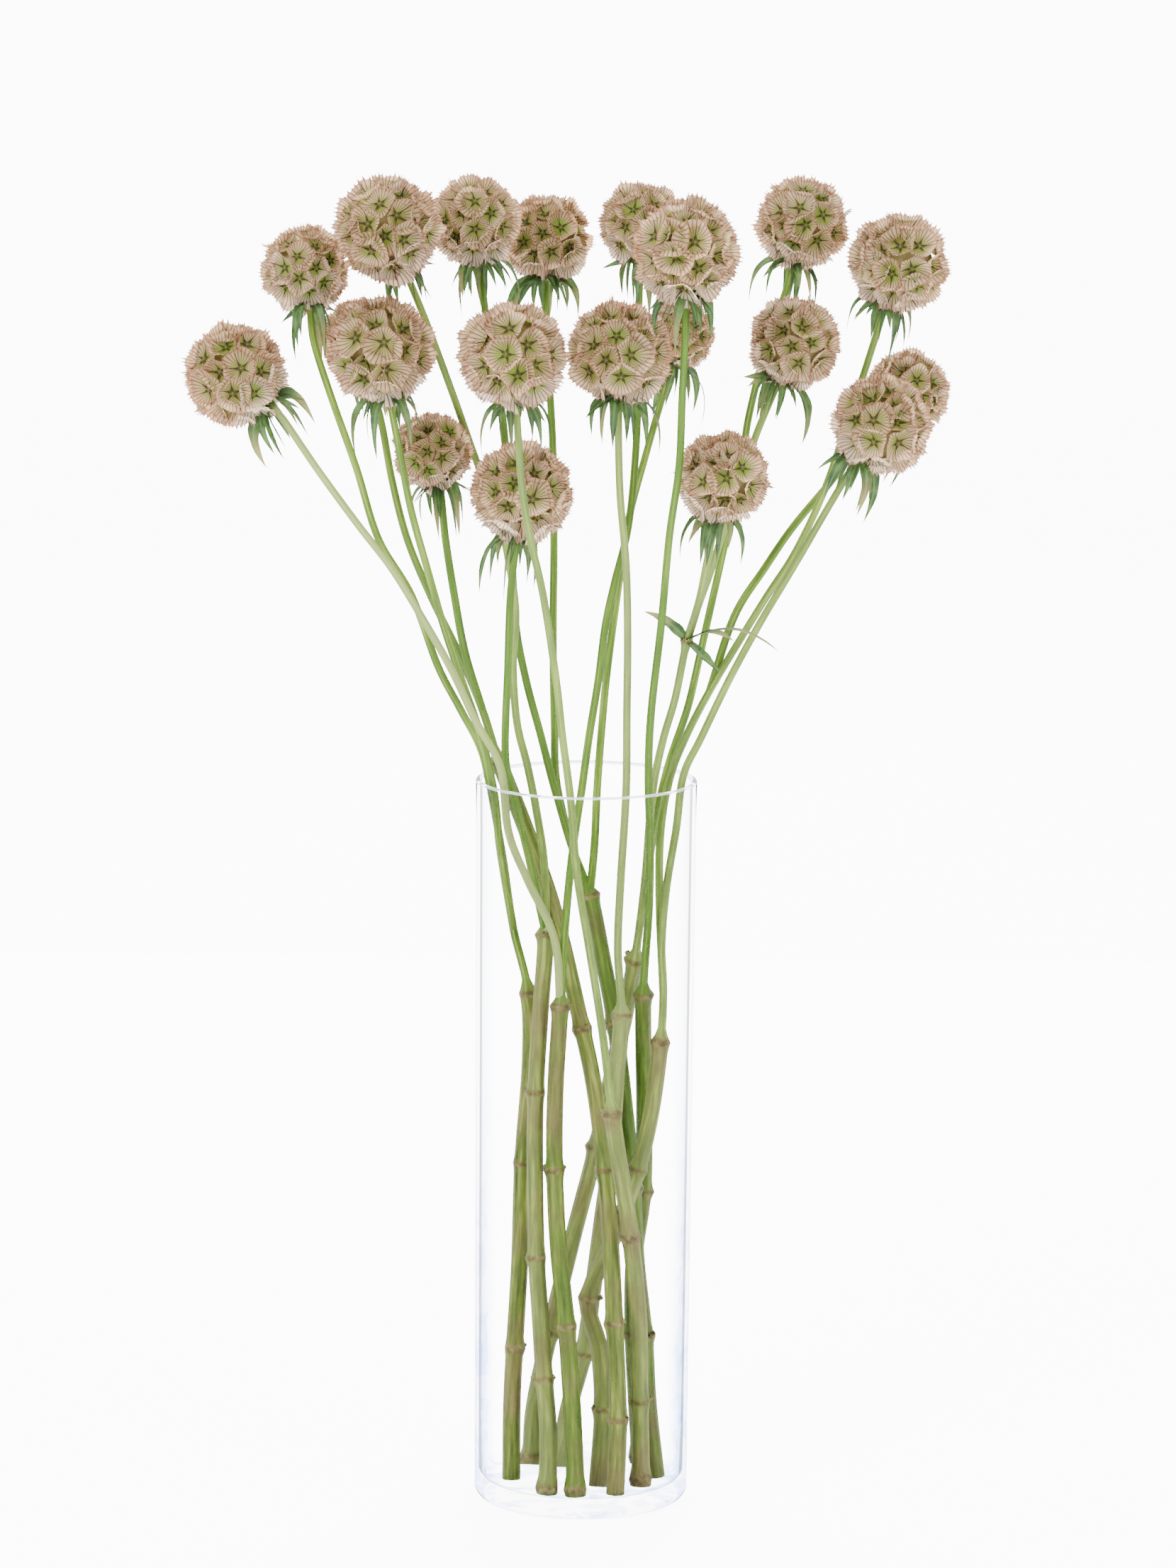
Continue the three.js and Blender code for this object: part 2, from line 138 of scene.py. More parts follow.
# Stage and camera, in metres and degrees
FLOOR_FRONT = -18.0
FLOOR_BACK = 3.0
FLOOR_HALF = 18.0
WALL_HALF = 6.0
WALL_BEND = 1.5
WALL_TOP = 6.0
WORLD_STRENGTH = 1.2
CAMERA_PLACE = (0.0007, -3.1, 0.88)
CAMERA_LENS = 158.26
CAMERA_DOWN = 9.98
CAMERA_ROLL = 0.5

# Lights: place and size in metres, and power in watts
LIGHTS = {
    "key": ((-1.6, -2.2, 2.4), 1.5, 110.0),
    "fill": ((2.2, -1.8, 1.4), 1.8, 40.0),
    "back": ((0.3, 1.8, 2.2), 2.0, 70.0),
}
LIGHTS_AIM = (0.0, 0.0, 0.35)

# Seed heads: centre and radius, as in the part's source
HEADS = {
    1: ((-128.5, -4, 569), 19.6),
    2: ((-91, -12, 588), 23.5),
    3: ((-53, 15, 591), 20.3),
    4: ((-21, 42, 582.5), 20.6),
    5: ((23, 26, 590), 19.2),
    6: ((42, -38, 580), 23.5),
    7: ((96, 20, 591), 21.0),
    8: ((139, 4, 574), 22.2),
    9: ((-159, -15, 522), 23.2),
    10: ((-105, 26, 536), 18.2),
    11: ((-94, -20, 534), 23.8),
    12: ((-34, -46, 534), 23.5),
    13: ((13, -24, 534), 23.0),
    14: ((41, 14, 540), 15.4),
    15: ((92, -6, 538), 20.6),
    16: ((146, 32, 513), 19.2),
    17: ((131, -14, 502), 22.2),
    18: ((-71, 0, 487), 17.8),
    19: ((-30, -20, 471), 22.8),
    20: ((60, -28, 479), 20.8),
}

# How brown the heads are, where they differ from the others
HEAD_TONES = {1: 0.5, 4: 0.5, 5: -0.3, 9: 0.4, 10: 0.2, 14: 0.6}

# Stem routes, as in the part's source, from the foot or the joint to just below the head
STEMS = [
    {"head": 10, "thick": 9, "nodes": (1, 2, 4, 6, 9), "route": [
        (16, -36, 9), (17, -33, 44), (15, -28, 88), (13, -21, 122), (10, -14, 157), (5, -8, 193),
        (-1, -3, 221), (-13, 3, 270), (-24, 9, 302), (-40, 13, 342), (-48, 15, 366), (-59, 16, 392),
        (-72, 18, 418), (-83, 20, 444), (-90, 22, 470), (-95, 24, 496),
    ]},
    {"head": 18, "joint": (10, 10), "route": [
        (-56, 11, 393), (-61, 8, 420), (-65, 4, 446), (-67, 2, 466),
    ]},
    {"head": 1, "thick": 6, "nodes": (2, 4, 6), "route": [
        (-32, -12, 9), (-32, -8, 44), (-31, -4, 70), (-29, 0, 110), (-28, 4, 156), (-25, 6, 203),
        (-26, 6, 236), (-33, 5, 266), (-38, 4, 299), (-43, 3, 326), (-48, 2, 349), (-58, 0, 369),
        (-68, -4, 389), (-80, -8, 422), (-95, -10, 448), (-105, -10, 480), (-116, -10, 511),
        (-124, -10, 536),
    ]},
    {"head": 11, "joint": (1, 7), "route": [
        (-39, -6, 304), (-42, -12, 332), (-48, -12, 358), (-57, -12, 384), (-65, -13, 408), (-73, -14, 436),
        (-80, -17, 462), (-85, -19, 488),
    ]},
    {"head": 2, "thick": 8, "nodes": (2, 4, 6, 8), "route": [
        (-15, -36, 9), (-15, -34, 38), (-17, -30, 62), (-19, -27, 90), (-21, -24, 118), (-22, -18, 155),
        (-22, -13, 193), (-20, -8, 232), (-18, -4, 265), (-19, 0, 297), (-23, 4, 322), (-27, 8, 341),
        (-32, 9, 361), (-34, 9, 387), (-33, 9, 413), (-37, 10, 439), (-42, 12, 459), (-51, 14, 480),
        (-62, 6, 512), (-74, -5, 546),
    ]},
    {"head": 19, "joint": (2, 8), "route": [
        (-26, -10, 302), (-34, -14, 335), (-37, -16, 352), (-36, -18, 391), (-35, -19, 424),
    ]},
    {"head": 3, "thick": 8, "nodes": (2, 4, 6, 8), "route": [
        (35, -6, 9), (31, -4, 44), (29, 0, 75), (25, 3, 110), (23, 6, 144), (19, 9, 182), (14, 14, 220),
        (8, 17, 251), (2, 19, 279), (-7, 20, 303), (-15, 20, 330), (-21, 19, 353), (-28, 18, 379),
        (-33, 18, 405), (-35, 17, 438), (-37, 16, 471), (-40, 15, 504), (-46, 14, 536),
    ]},
    {"head": 4, "joint": (3, 8), "route": [
        (-8, 29, 305), (-14, 33, 331), (-15, 34, 357), (-16, 36, 396), (-16, 38, 442), (-17, 40, 488),
        (-20, 42, 533),
    ]},
    {"head": 14, "joint": (3, 8), "route": [
        (4, 17, 304), (5, 16, 331), (7, 15, 361), (9, 15, 384), (13, 16, 417), (18, 17, 453), (26, 18, 485),
    ]},
    {"head": 12, "thick": 5, "nodes": (1, 3, 5), "route": [
        (28, -21, 9), (27, -18, 49), (26, -21, 88), (22, -27, 129), (17, -30, 161), (13, -33, 188),
        (8, -36, 228), (2, -39, 265), (-4, -41, 301), (-7, -42, 334), (-11, -44, 364), (-14, -46, 390),
        (-20, -48, 428), (-26, -48, 454), (-30, -48, 479),
    ]},
    {"head": 5, "thick": 6, "nodes": (2, 4, 6), "route": [
        (-2, -39, 9), (-4, -37, 49), (-7, -33, 88), (-11, -28, 124), (-13, -23, 159), (-13, -19, 195),
        (-11, -16, 234), (-9, -14, 273), (-6, -13, 306), (-2, -12, 335), (1, -10, 358), (5, -8, 384),
        (8, -6, 409), (12, -3, 428), (18, 2, 453), (21, 8, 485), (22, 14, 517), (22, 20, 550),
    ]},
    {"head": 9, "joint": (5, 6), "route": [
        (-14, -18, 266), (-26, -22, 293), (-35, -24, 316), (-39, -25, 346), (-50, -26, 367),
        (-62, -25, 392), (-77, -24, 418), (-89, -23, 437), (-104, -21, 456), (-122, -18, 480),
        (-138, -16, 503),
    ]},
    {"head": 13, "thick": 7, "nodes": (2, 5, 7), "route": [
        (-10, 14, 9), (-6, 12, 36), (1, 10, 64), (5, 8, 95), (9, 8, 129), (13, 3, 163), (15, -1, 198),
        (17, -4, 228), (15, -8, 259), (16, -14, 293), (18, -20, 334), (18, -24, 373), (18, -26, 406),
        (17, -26, 438), (14, -25, 470), (13, -24, 496),
    ]},
    {"head": 6, "thick": 6, "nodes": (2, 4, 6), "route": [
        (28, 18, 9), (26, 22, 37), (24, 22, 71), (24, 22, 105), (28, 21, 139), (28, 15, 182), (27, 3, 236),
        (29, -12, 280), (29, -20, 314), (28, -26, 345), (29, -30, 374), (33, -34, 414), (36, -37, 453),
        (40, -38, 485), (41, -38, 517), (42, -38, 543),
    ]},
    {"head": 17, "thick": 7, "nodes": (1, 3, 5, 7), "route": [
        (8, -23, 9), (10, -16, 44), (8, -10, 72), (3, -4, 94), (15, -8, 126), (25, -12, 157), (31, -9, 183),
        (35, -7, 216), (36, -7, 239), (35, -8, 262), (37, -9, 289), (41, -11, 316), (44, -13, 341),
        (52, -14, 359), (64, -14, 385), (77, -14, 410), (89, -14, 431), (97, -14, 445), (107, -14, 463),
        (119, -14, 484),
    ]},
    {"head": 8, "joint": (17, 8), "route": [
        (34, -2, 278), (34, 2, 310), (38, 5, 336), (45, 7, 355), (56, 8, 377), (70, 10, 401), (82, 11, 421),
        (94, 12, 440), (106, 12, 466), (116, 11, 496), (126, 8, 529),
    ]},
    {"head": 16, "joint": (8, 5), "route": [
        (67, 17, 410), (81, 22, 432), (94, 25, 451), (113, 28, 474), (128, 31, 494),
    ]},
    {"head": 15, "thick": 7, "nodes": (2, 4, 7, 13), "route": [
        (-23, 13, 9), (-22, 20, 34), (-15, 28, 69), (-4, 32, 116), (6, 32, 157), (14, 28, 198),
        (19, 23, 223), (23, 14, 250), (27, 3, 287), (29, -3, 318), (31, -6, 338), (35, -8, 358),
        (40, -8, 376), (45, -8, 402), (50, -6, 418), (55, -3, 432), (61, -1, 451), (69, -1, 474),
        (75, -3, 495),
    ]},
    {"head": 20, "joint": (15, 13), "route": [
        (50, -16, 421), (53, -22, 438),
    ]},
    {"head": 7, "joint": (15, 7), "route": [
        (28, 20, 287), (33, 23, 319), (38, 23, 341), (46, 22, 366), (51, 20, 389), (56, 19, 413),
        (61, 18, 437), (66, 18, 462), (70, 18, 485), (73, 19, 504), (80, 21, 533), (89, 21, 560),
    ]},
]

# Leaves on the node below heads 15 and 20: middle and tip of each
LEAF_JOINT = (45, -8, 402)
LEAF_WIDTH = 6.0
LEAVES = [
    ((66, -20, 409), (87, -21, 399)),
    ((36, -16, 412), (25, -18, 417)),
    ((56, -21, 408), (66, -28, 405)),
    ((53, -19, 396), (60, -22, 390)),
]


def opened(point):
    """A listed point, moved outwards in depth where the bunch opens."""
    x, y, z = point
    shift = y * OPEN_SHARE * max(0.0, z - OPEN_FROM) / (OPEN_TOP - OPEN_FROM)
    return Vector((x, y + shift, z - shift * OPEN_DROP))


def repeatable(seed):
    """Repeatable numbers between 0 and 1, the same as in the part's source."""
    state = seed
    while True:
        state = (state * 16807) % 2147483647
        yield state / 2147483647


def placed(name, data):
    """A new object in the scene."""
    new = bpy.data.objects.new(name, data)
    bpy.context.scene.collection.objects.link(new)
    return new


class Shape:
    """Points, faces, map places and named values of one mesh, in millimetres."""

    def __init__(self):
        self.points = []
        self.faces = []
        self.maps = []
        self.values = {}
        self.count = 0

    def add(self, points, faces, u, v, **values):
        """Takes in some faces, with the map place of each corner and values for each point."""
        points = np.asarray(points, dtype=float).reshape(-1, 3)
        self.points.append(points)
        self.faces.append(np.asarray(faces, dtype=int) + self.count)
        self.maps.append(np.stack([u, v], axis=1))
        for name, value in values.items():
            spread = np.broadcast_to(np.asarray(value, dtype=float).reshape(-1), (len(points),))
            self.values.setdefault(name, []).append(spread)
        self.count += len(points)

    def make(self, name, material):
        """Turns the collected parts into a piece of the scene."""
        points = np.concatenate(self.points) * MM
        faces = np.concatenate(self.faces)
        mesh = bpy.data.meshes.new(name)
        mesh.vertices.add(len(points))
        mesh.vertices.foreach_set("co", points.ravel())
        mesh.loops.add(faces.size)
        mesh.loops.foreach_set("vertex_index", faces.ravel())
        mesh.polygons.add(len(faces))
        mesh.polygons.foreach_set("loop_start", np.arange(0, faces.size, faces.shape[1]))
        layer = mesh.uv_layers.new(name="OFBake")
        layer.data.foreach_set("uv", np.concatenate(self.maps).ravel())
        for value, parts in self.values.items():
            attribute = mesh.attributes.new(value, "FLOAT", "POINT")
            attribute.data.foreach_set("value", np.concatenate(parts))
        mesh.update(calc_edges=True)
        mesh.polygons.foreach_set("use_smooth", [True] * len(faces))
        mesh.materials.append(material)
        piece = placed(name, mesh)
        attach(piece, "root")
        return piece


def grid_faces(rows, columns, wrap, flip=False):
    """Four-cornered faces of a grid, with the row and column of each corner."""
    last = columns if wrap else columns - 1
    row, column = np.meshgrid(np.arange(rows - 1), np.arange(last), indexing="ij")
    row = row.ravel()
    column = column.ravel()
    rows_of = np.stack([row, row, row + 1, row + 1], axis=1)
    columns_of = np.stack([column, column + 1, column + 1, column], axis=1)
    faces = rows_of * columns + columns_of % columns
    if flip:
        faces, rows_of, columns_of = faces[:, ::-1], rows_of[:, ::-1], columns_of[:, ::-1]
    return faces, rows_of.ravel().astype(float), columns_of.ravel().astype(float)


def unit(vectors):
    """The same directions at length 1."""
    return vectors / np.linalg.norm(vectors, axis=-1, keepdims=True)


def around(centres, first, second, reach, angle):
    """Points round the given centres, at the given reach, in the plane of two directions."""
    sideways = (reach * np.cos(angle))[..., None] * first
    forwards = (reach * np.sin(angle))[..., None] * second
    return centres + sideways + forwards


def circle(sides):
    """Even angles of a full turn."""
    return np.arange(sides) / sides * math.tau


def arc(across, height, radius, start, end, steps):
    """Places on a round corner of a section, after its first one."""
    turn = np.radians(np.linspace(start, end, steps + 1)[1:])
    return np.stack([across + radius * np.cos(turn), height + radius * np.sin(turn)], axis=1)


def in_column(cell, across, along):
    """Map place in one column of a piece's map, where cell is the column and how many there are."""
    column, columns = cell
    return (column + 0.06 + 0.88 * across) / columns, 0.01 + 0.98 * along


# Stem lines


def centre_line(stem):
    """Route points of a stem from its foot or joint to the seat under its head."""
    points = [opened(point) for point in stem["route"]]
    if "joint" in stem:
        parent = BY_HEAD[stem["joint"][0]]
        place = stem["joint"][1] - (1 if "joint" in parent else 0)
        points.insert(0, opened(parent["route"][place]))
    else:
        points[0].z = VASE_FLOOR + FOOT_GAP
    centre, radius = HEADS[stem["head"]]
    centre = opened(centre)
    axis = (centre - points[-1]).normalized()
    seat = centre - axis * (radius * SEAT + SEAT_GAP)
    points.append(seat - axis * RECEPTACLE_LENGTH)
    points.append(seat)
    return points, axis, seat


def smooth_line(points):
    """Even steps along a smooth curve through the points, with the route place of each."""
    ends = [points[0] * 2 - points[1]] + points + [points[-1] * 2 - points[-2]]
    places = []
    line = []
    for index in range(len(points) - 1):
        a, b, c, d = ends[index:index + 4]
        steps = max(2, round((c - b).length / RING_STEP))
        for step in range(steps + (index == len(points) - 2)):
            t = step / steps
            bend = a * 2 - b * 5 + c * 4 - d
            swing = b * 3 - a - c * 3 + d
            line.append((b * 2 + (c - a) * t + bend * t ** 2 + swing * t ** 3) * 0.5)
            places.append(index + t)
    return np.array(line), np.array(places)


def rise(value, low, high):
    """Smooth step from 0 at low to 1 at high."""
    t = np.clip((value - low) / (high - low), 0.0, 1.0)
    return t * t * (3.0 - 2.0 * t)


def stem_profile(stem, line, places):
    """Distance along the stem, its radius there, and how near each place is to a node."""
    along = np.concatenate([[0.0], np.cumsum(np.linalg.norm(np.diff(line, axis=0), axis=1))])
    last = places[-1]
    thick = stem.get("thick", 0)
    stout = FOOT_RADIUS + (THICK_RADIUS - FOOT_RADIUS) * np.clip(places / 5.0, 0.0, 1.0)
    share = np.clip((places - thick) / max(last - thick, 1), 0.0, 1.0)
    slender = THIN_RADIUS + (NECK_RADIUS - THIN_RADIUS) * share
    if "joint" in stem:
        radius = slender
        low = np.zeros_like(places)
    else:
        edge = np.interp(thick, places, along)
        low = 1.0 - rise(along, edge - 1.0, edge + 2.2 * NODE_REACH)
        radius = slender + (stout - slender) * low
    node = np.zeros_like(places)
    for place in stem.get("nodes", ()):
        distance = along - np.interp(place, places, along)
        node = np.maximum(node, np.exp(-(distance / NODE_HALF) ** 2))
    if stem["head"] in SWOLLEN_FEET:
        node = np.maximum(node, np.exp(-((along - 3.0) / FOOT_NODE_HALF) ** 2))
    radius = radius + NODE_SWELL * node
    to_end = along[-1] - along
    radius = radius + (RECEPTACLE_RADIUS - NECK_RADIUS) * (1.0 - rise(to_end, 0.0, RECEPTACLE_LENGTH))
    return along, radius, node, low


def frames_along(line):
    """Direction, sideways and front vectors at each place of a line."""
    direction = unit(np.gradient(line, axis=0))
    side = unit(np.cross(BACKWARDS, direction))
    return direction, side, np.cross(side, direction)


def add_stalk(shape, stem, cell, chance):
    """A ribbed stalk, swollen at its nodes, mapped into its own column of the piece's map."""
    points = LINES[stem["head"]][0]
    tint = STEM_TINTS.get(stem["head"], chance.uniform(-0.8, 0.8))
    line, places = smooth_line(points)
    along, radius, node, low = stem_profile(stem, line, places)
    direction, side, front = frames_along(line)
    if "joint" not in stem:
        direction[0] = UP
    ridge = np.tile([1.0, 0.0], STEM_SIDES // 2)
    angle = circle(STEM_SIDES)
    groove = 1.0 - (0.05 + 0.035 * low[:, None]) * (1.0 - ridge[None, :]) * (1.0 - 0.6 * node[:, None])
    knots = sum(
        chance.uniform(0.5, 1.0) * np.cos(lobes * angle + chance.uniform(0, 6)) for lobes in (1, 2, 3)
    )
    reach = radius[:, None] * groove * (1.0 + 0.07 * node[:, None] * knots[None, :])
    ring = around(line[:, None, :], side[:, None, :], front[:, None, :], reach, angle)
    rows = len(line)
    faces, row_of, column_of = grid_faces(rows, STEM_SIDES, True)
    share = along / along[-1]
    u, v = in_column(cell, column_of / STEM_SIDES, np.interp(row_of, np.arange(rows), share))
    shape.add(
        ring, faces, u, v, along=np.repeat(along, STEM_SIDES), turn=np.tile(angle, rows),
        node=np.repeat(node, STEM_SIDES), low=np.repeat(low, STEM_SIDES), ridge=np.tile(ridge, rows),
        tint=tint,
    )
    if "joint" not in stem:
        add_cut(shape, ring[0], line[0], cell)
    spots = cell, tint, chance
    for place in stem.get("nodes", ()):
        at = int(np.argmin(np.abs(places - place)))
        if 0.5 < place < places[-1] - 1 and at + 1 < rows:
            for _ in range(chance.choice((0, 1, 1, 2))):
                place_of = line[at], direction[at], side[at], front[at], radius[at], share[at]
                add_stub(shape, place_of, spots)
    add_hairs(shape, line, side, front, radius, along, spots)


def add_stub(shape, place_of, spots):
    """The short dry end of a side shoot that was broken off at a node."""
    centre, direction, side, front, radius, share = place_of
    cell, tint, chance = spots
    turn = chance.uniform(0, math.tau)
    outward = side * math.cos(turn) + front * math.sin(turn)
    lean = unit(outward + direction * chance.uniform(0.4, 1.1))
    first = unit(np.cross(lean, direction))
    second = np.cross(lean, first)
    length = chance.uniform(*STUB_LENGTH)
    rows = [(0.0, 1.5), (0.5, 1.25), (0.85, 1.2), (1.0, 0.95), (0.93, 0.4)]
    angle = circle(STUB_SIDES)
    start = centre + outward * radius * 0.6
    ring = []
    for reach, wide in rows:
        ragged = length * reach + (0.3 if reach > 0.8 else 0.0) * np.cos(3 * angle + turn)
        ring.append(around(start + lean * ragged[:, None], first, second, wide, angle))
    faces, row_of, column_of = grid_faces(len(rows), STUB_SIDES, True)
    u, v = in_column(cell, column_of / STUB_SIDES, share)
    shape.add(
        ring, faces, u, v + 0.002 * row_of, along=share * 300.0, turn=np.tile(angle, len(rows)),
        node=np.repeat([0.6, 0.9, 1.0, 1.0, 1.0], STUB_SIDES), low=0.5, ridge=1.0, tint=tint,
    )


def add_hairs(shape, line, side, front, radius, along, spots):
    """Short pale hairs standing off a stalk."""
    cell, _, chance = spots
    points = []
    map_u = []
    map_v = []
    for _ in range(int(along[-1] * HAIRS_PER_MM)):
        at = chance.randrange(2, len(line) - 3)
        turn = chance.uniform(0, math.tau)
        outward = side[at] * math.cos(turn) + front[at] * math.sin(turn)
        sideways = front[at] * math.cos(turn) - side[at] * math.sin(turn)
        start = line[at] + (line[at + 1] - line[at]) * chance.random() + outward * radius[at] * 0.93
        tip = start + outward * chance.uniform(*HAIR_LENGTH) + sideways * chance.uniform(-0.4, 0.4)
        points += [start - sideways * HAIR_ROOT, start + sideways * HAIR_ROOT]
        points += [tip + sideways * HAIR_TIP, tip - sideways * HAIR_TIP]
        u, v = in_column(cell, turn / 6.3, along[at] / along[-1])
        map_u += [u, u + HAIR_MAP, u + HAIR_MAP, u]
        map_v += [v, v, v + HAIR_MAP, v + HAIR_MAP]
    faces = np.arange(len(points)).reshape(-1, 4)
    shape.add(
        points, faces, map_u, map_v, along=0.0, turn=0.0, node=0.0, low=0.0, ridge=1.0, tint=HAIR_TINT,
    )


def add_cut(shape, ring, centre, cell):
    """The pale cut face at a stalk's foot."""
    inner = centre + (ring - centre) * 0.35
    points = np.concatenate([ring, inner, np.repeat(centre[None, :], STEM_SIDES, axis=0)])
    faces, row_of, column_of = grid_faces(3, STEM_SIDES, True, flip=True)
    u, _ = in_column(cell, column_of / STEM_SIDES, 0.0)
    v = 0.0005 + 0.004 * row_of
    shape.add(points, faces, u, v, along=0.0, turn=0.0, node=1.0, low=1.0, ridge=0.0, tint=0.3)


# Bracts and leaves


def distance_to_segment(point, start, end):
    """Shortest distance from a point to a straight stretch."""
    span = end - start
    share = max(0.0, min(1.0, (point - start).dot(span) / span.length_squared))
    return (start + span * share - point).length


def is_free(point, own_head, margin):
    """True where a point keeps clear of every other head and stem."""
    for number, (centre, radius) in HEADS.items():
        if number != own_head and (opened(centre) - point).length <= radius * FRINGE + margin:
            return False
    for head, (points, _, _) in LINES.items():
        if head == own_head:
            continue
        for start, end in zip(points, points[1:]):
            if distance_to_segment(point, start, end) <= NECK_RADIUS + STEM_SPARE + margin:
                return False
    return True


def seat_frame(head):
    """The seat of a head, with its axis and two directions across it."""
    _, axis, seat = LINES[head]
    side = Vector((0, 1, 0)).cross(axis).normalized()
    return seat, axis, side, side.cross(axis)


def bract_lines(stem, taken):
    """Root, middle and tip of each bract below a head, by the same rule as the part's source."""
    numbers = repeatable(stem["head"] * 7919 + 13)
    seat, axis, side, front = seat_frame(stem["head"])
    lines = []
    for index in range(BRACTS_PER_HEAD):
        turn = (index + 0.7 * next(numbers)) / BRACTS_PER_HEAD * math.tau
        reach = BRACT_LENGTH * (0.85 + 0.3 * next(numbers))
        droop = 0.15 + 0.75 * next(numbers)
        outward = side * math.cos(turn) + front * math.sin(turn)
        root = seat - axis * 1.6 + outward * 1.2
        middle = seat - axis * (1.8 + reach * 0.25 * droop) + outward * reach * 0.45
        tip = seat - axis * (2 + reach * droop) + outward * reach * (1 - 0.35 * droop)
        samples = [middle, middle.lerp(tip, 0.5), tip]
        free = all(is_free(point, stem["head"], BRACT_WIDTH * 0.5 + CLEARANCE) for point in samples)
        apart = all(
            head == stem["head"] or (other - point).length > 8
            for point in samples for head, others in taken for other in others
        )
        if free and apart:
            lines.append((root, middle, tip))
            taken.append((stem["head"], samples))
    return lines


def add_blade(shape, root, middle, tip, width, cell, cells, chance):
    """A narrow leaf, folded along its midrib, curving through its middle to a pointed tip."""
    control = (middle - (root + tip) * 0.25) * 2.0
    rows = 14
    offsets = (-1.0, -0.5, 0.0, 0.5, 1.0)
    along = tip - root
    across = along.cross(Vector((0, 0, 1))).normalized()
    up = across.cross(along).normalized()
    twist = chance.uniform(-0.8, 0.8)
    roll = chance.uniform(-1.0, 1.0)
    fold = chance.uniform(0.15, 0.5)
    wave = chance.uniform(0, 6)
    places = [row / (rows - 1) for row in range(rows)]
    points = []
    for t in places:
        centre = root * (1 - t) ** 2 + control * (2 * t * (1 - t)) + tip * t ** 2
        half = 0.5 * width * min(1.0, 0.55 + 1.6 * t) * (1.0 - t ** 2.2)
        half *= 1.0 + 0.08 * math.sin(t * 17.0 + wave)
        turn = roll + twist * t
        turned = across * math.cos(turn) + up * math.sin(turn)
        lifted = up * math.cos(turn) - across * math.sin(turn)
        for offset in offsets:
            points.append(tuple(centre + turned * (half * offset) + lifted * (half * fold * abs(offset))))
    faces, row_of, column_of = grid_faces(rows, len(offsets), False)
    u = (cell + 0.08 + 0.84 * column_of / 4) / cells
    v = 0.02 + 0.96 * row_of / (rows - 1)
    edge = np.tile(np.abs(offsets), rows)
    reach = np.repeat(places, len(offsets))
    shape.add(points, faces, u, v, edge=edge, reach=reach, tint=chance.uniform(-1.0, 1.0))


def hanging_lines(stem, chance):
    """Further bracts that hang close round the stalk below a head."""
    seat, axis, side, front = seat_frame(stem["head"])
    radius = HEADS[stem["head"]][1]
    down = (-axis + Vector((0, 0, -0.6))).normalized()
    lines = []
    for index in range(HANGING_BRACTS):
        turn = (index + 0.6 * chance.random()) / HANGING_BRACTS * math.tau
        length = radius * (1 - SEAT) + chance.uniform(*HANGING_LENGTH)
        out = length * chance.uniform(0.1, 0.7)
        outward = side * math.cos(turn) + front * math.sin(turn)
        root = seat - axis * 0.8 + outward * 2.2
        middle = seat + down * (length * 0.3) + outward * (2.0 + out * 0.8)
        tip = seat + down * length + outward * (1.5 + out)
        width = chance.uniform(*HANGING_WIDTH)
        if all(is_free(point, stem["head"], 1.5) for point in (middle, middle.lerp(tip, 0.5), tip)):
            lines.append((root, middle, tip, width))
    return lines


# Seed heads


def cup_directions(count, chance, axis):
    """Directions spread over a ball, leaving out the seat, with the height of each above the middle."""
    golden = math.pi * (3 - math.sqrt(5))
    start = chance.uniform(0, math.tau)
    index = np.arange(count)
    height = 1 - 1.75 * (index + 0.4) / count
    across = np.sqrt(1 - height ** 2)
    turn = start + index * golden
    points = np.stack([across * np.cos(turn), across * np.sin(turn), height], axis=1)
    points += [[chance.gauss(0, 0.1) for _ in range(3)] for _ in range(count)]
    for _ in range(25):
        points = unit(points)
        apart = points[:, None, :] - points[None, :, :]
        distance = np.linalg.norm(apart, axis=2) + np.eye(count)
        push = (apart / distance[:, :, None] ** 3).sum(axis=1)
        from_seat = points + UP
        push += SEAT_PUSH * from_seat / np.linalg.norm(from_seat, axis=1)[:, None] ** 3
        points = points + 0.006 * push
    points += [[chance.gauss(0, 0.04) for _ in range(3)] for _ in range(count)]
    points = unit(points)
    turn_to = Vector((0, 0, 1)).rotation_difference(axis)
    return [np.array(turn_to @ Vector(point)) for point in points], points[:, 2]


def packed_reach(directions, levels, index, first, second, angle):
    """How far a cup may spread round its rim before a neighbour stops it."""
    outward = np.outer(np.cos(angle), first) + np.outer(np.sin(angle), second)
    nearest = np.full(len(angle), 1.2)
    for other, direction in enumerate(directions):
        towards = outward @ direction
        share = 1.0 - float(np.dot(directions[index], direction))
        if other == index or share > 0.9:
            continue
        limit = np.arctan2(share, np.maximum(towards, 1e-6))
        limit = limit * (OVERLAP + LEVEL_OVERLAP * (levels[index] - levels[other]))
        nearest = np.minimum(nearest, np.where(towards > 0, limit, 1.2))
    return np.sin(nearest)


def cup_height(t):
    """How far the wall of a cup has risen, from 0 at its floor to 1 at its rim."""
    full = 1.0 - math.sqrt(1.0 - CUP_CURVE ** 2)
    return (1.0 - np.sqrt(1.0 - (CUP_CURVE * np.clip(t, 0.0, 1.0)) ** 2)) / full


def waves(angle, parts, chance):
    """Waves round a turn, each with its height, its number of crests and a random start."""
    return sum(height * np.sin(crests * angle + chance.uniform(0, 6)) for height, crests in parts)


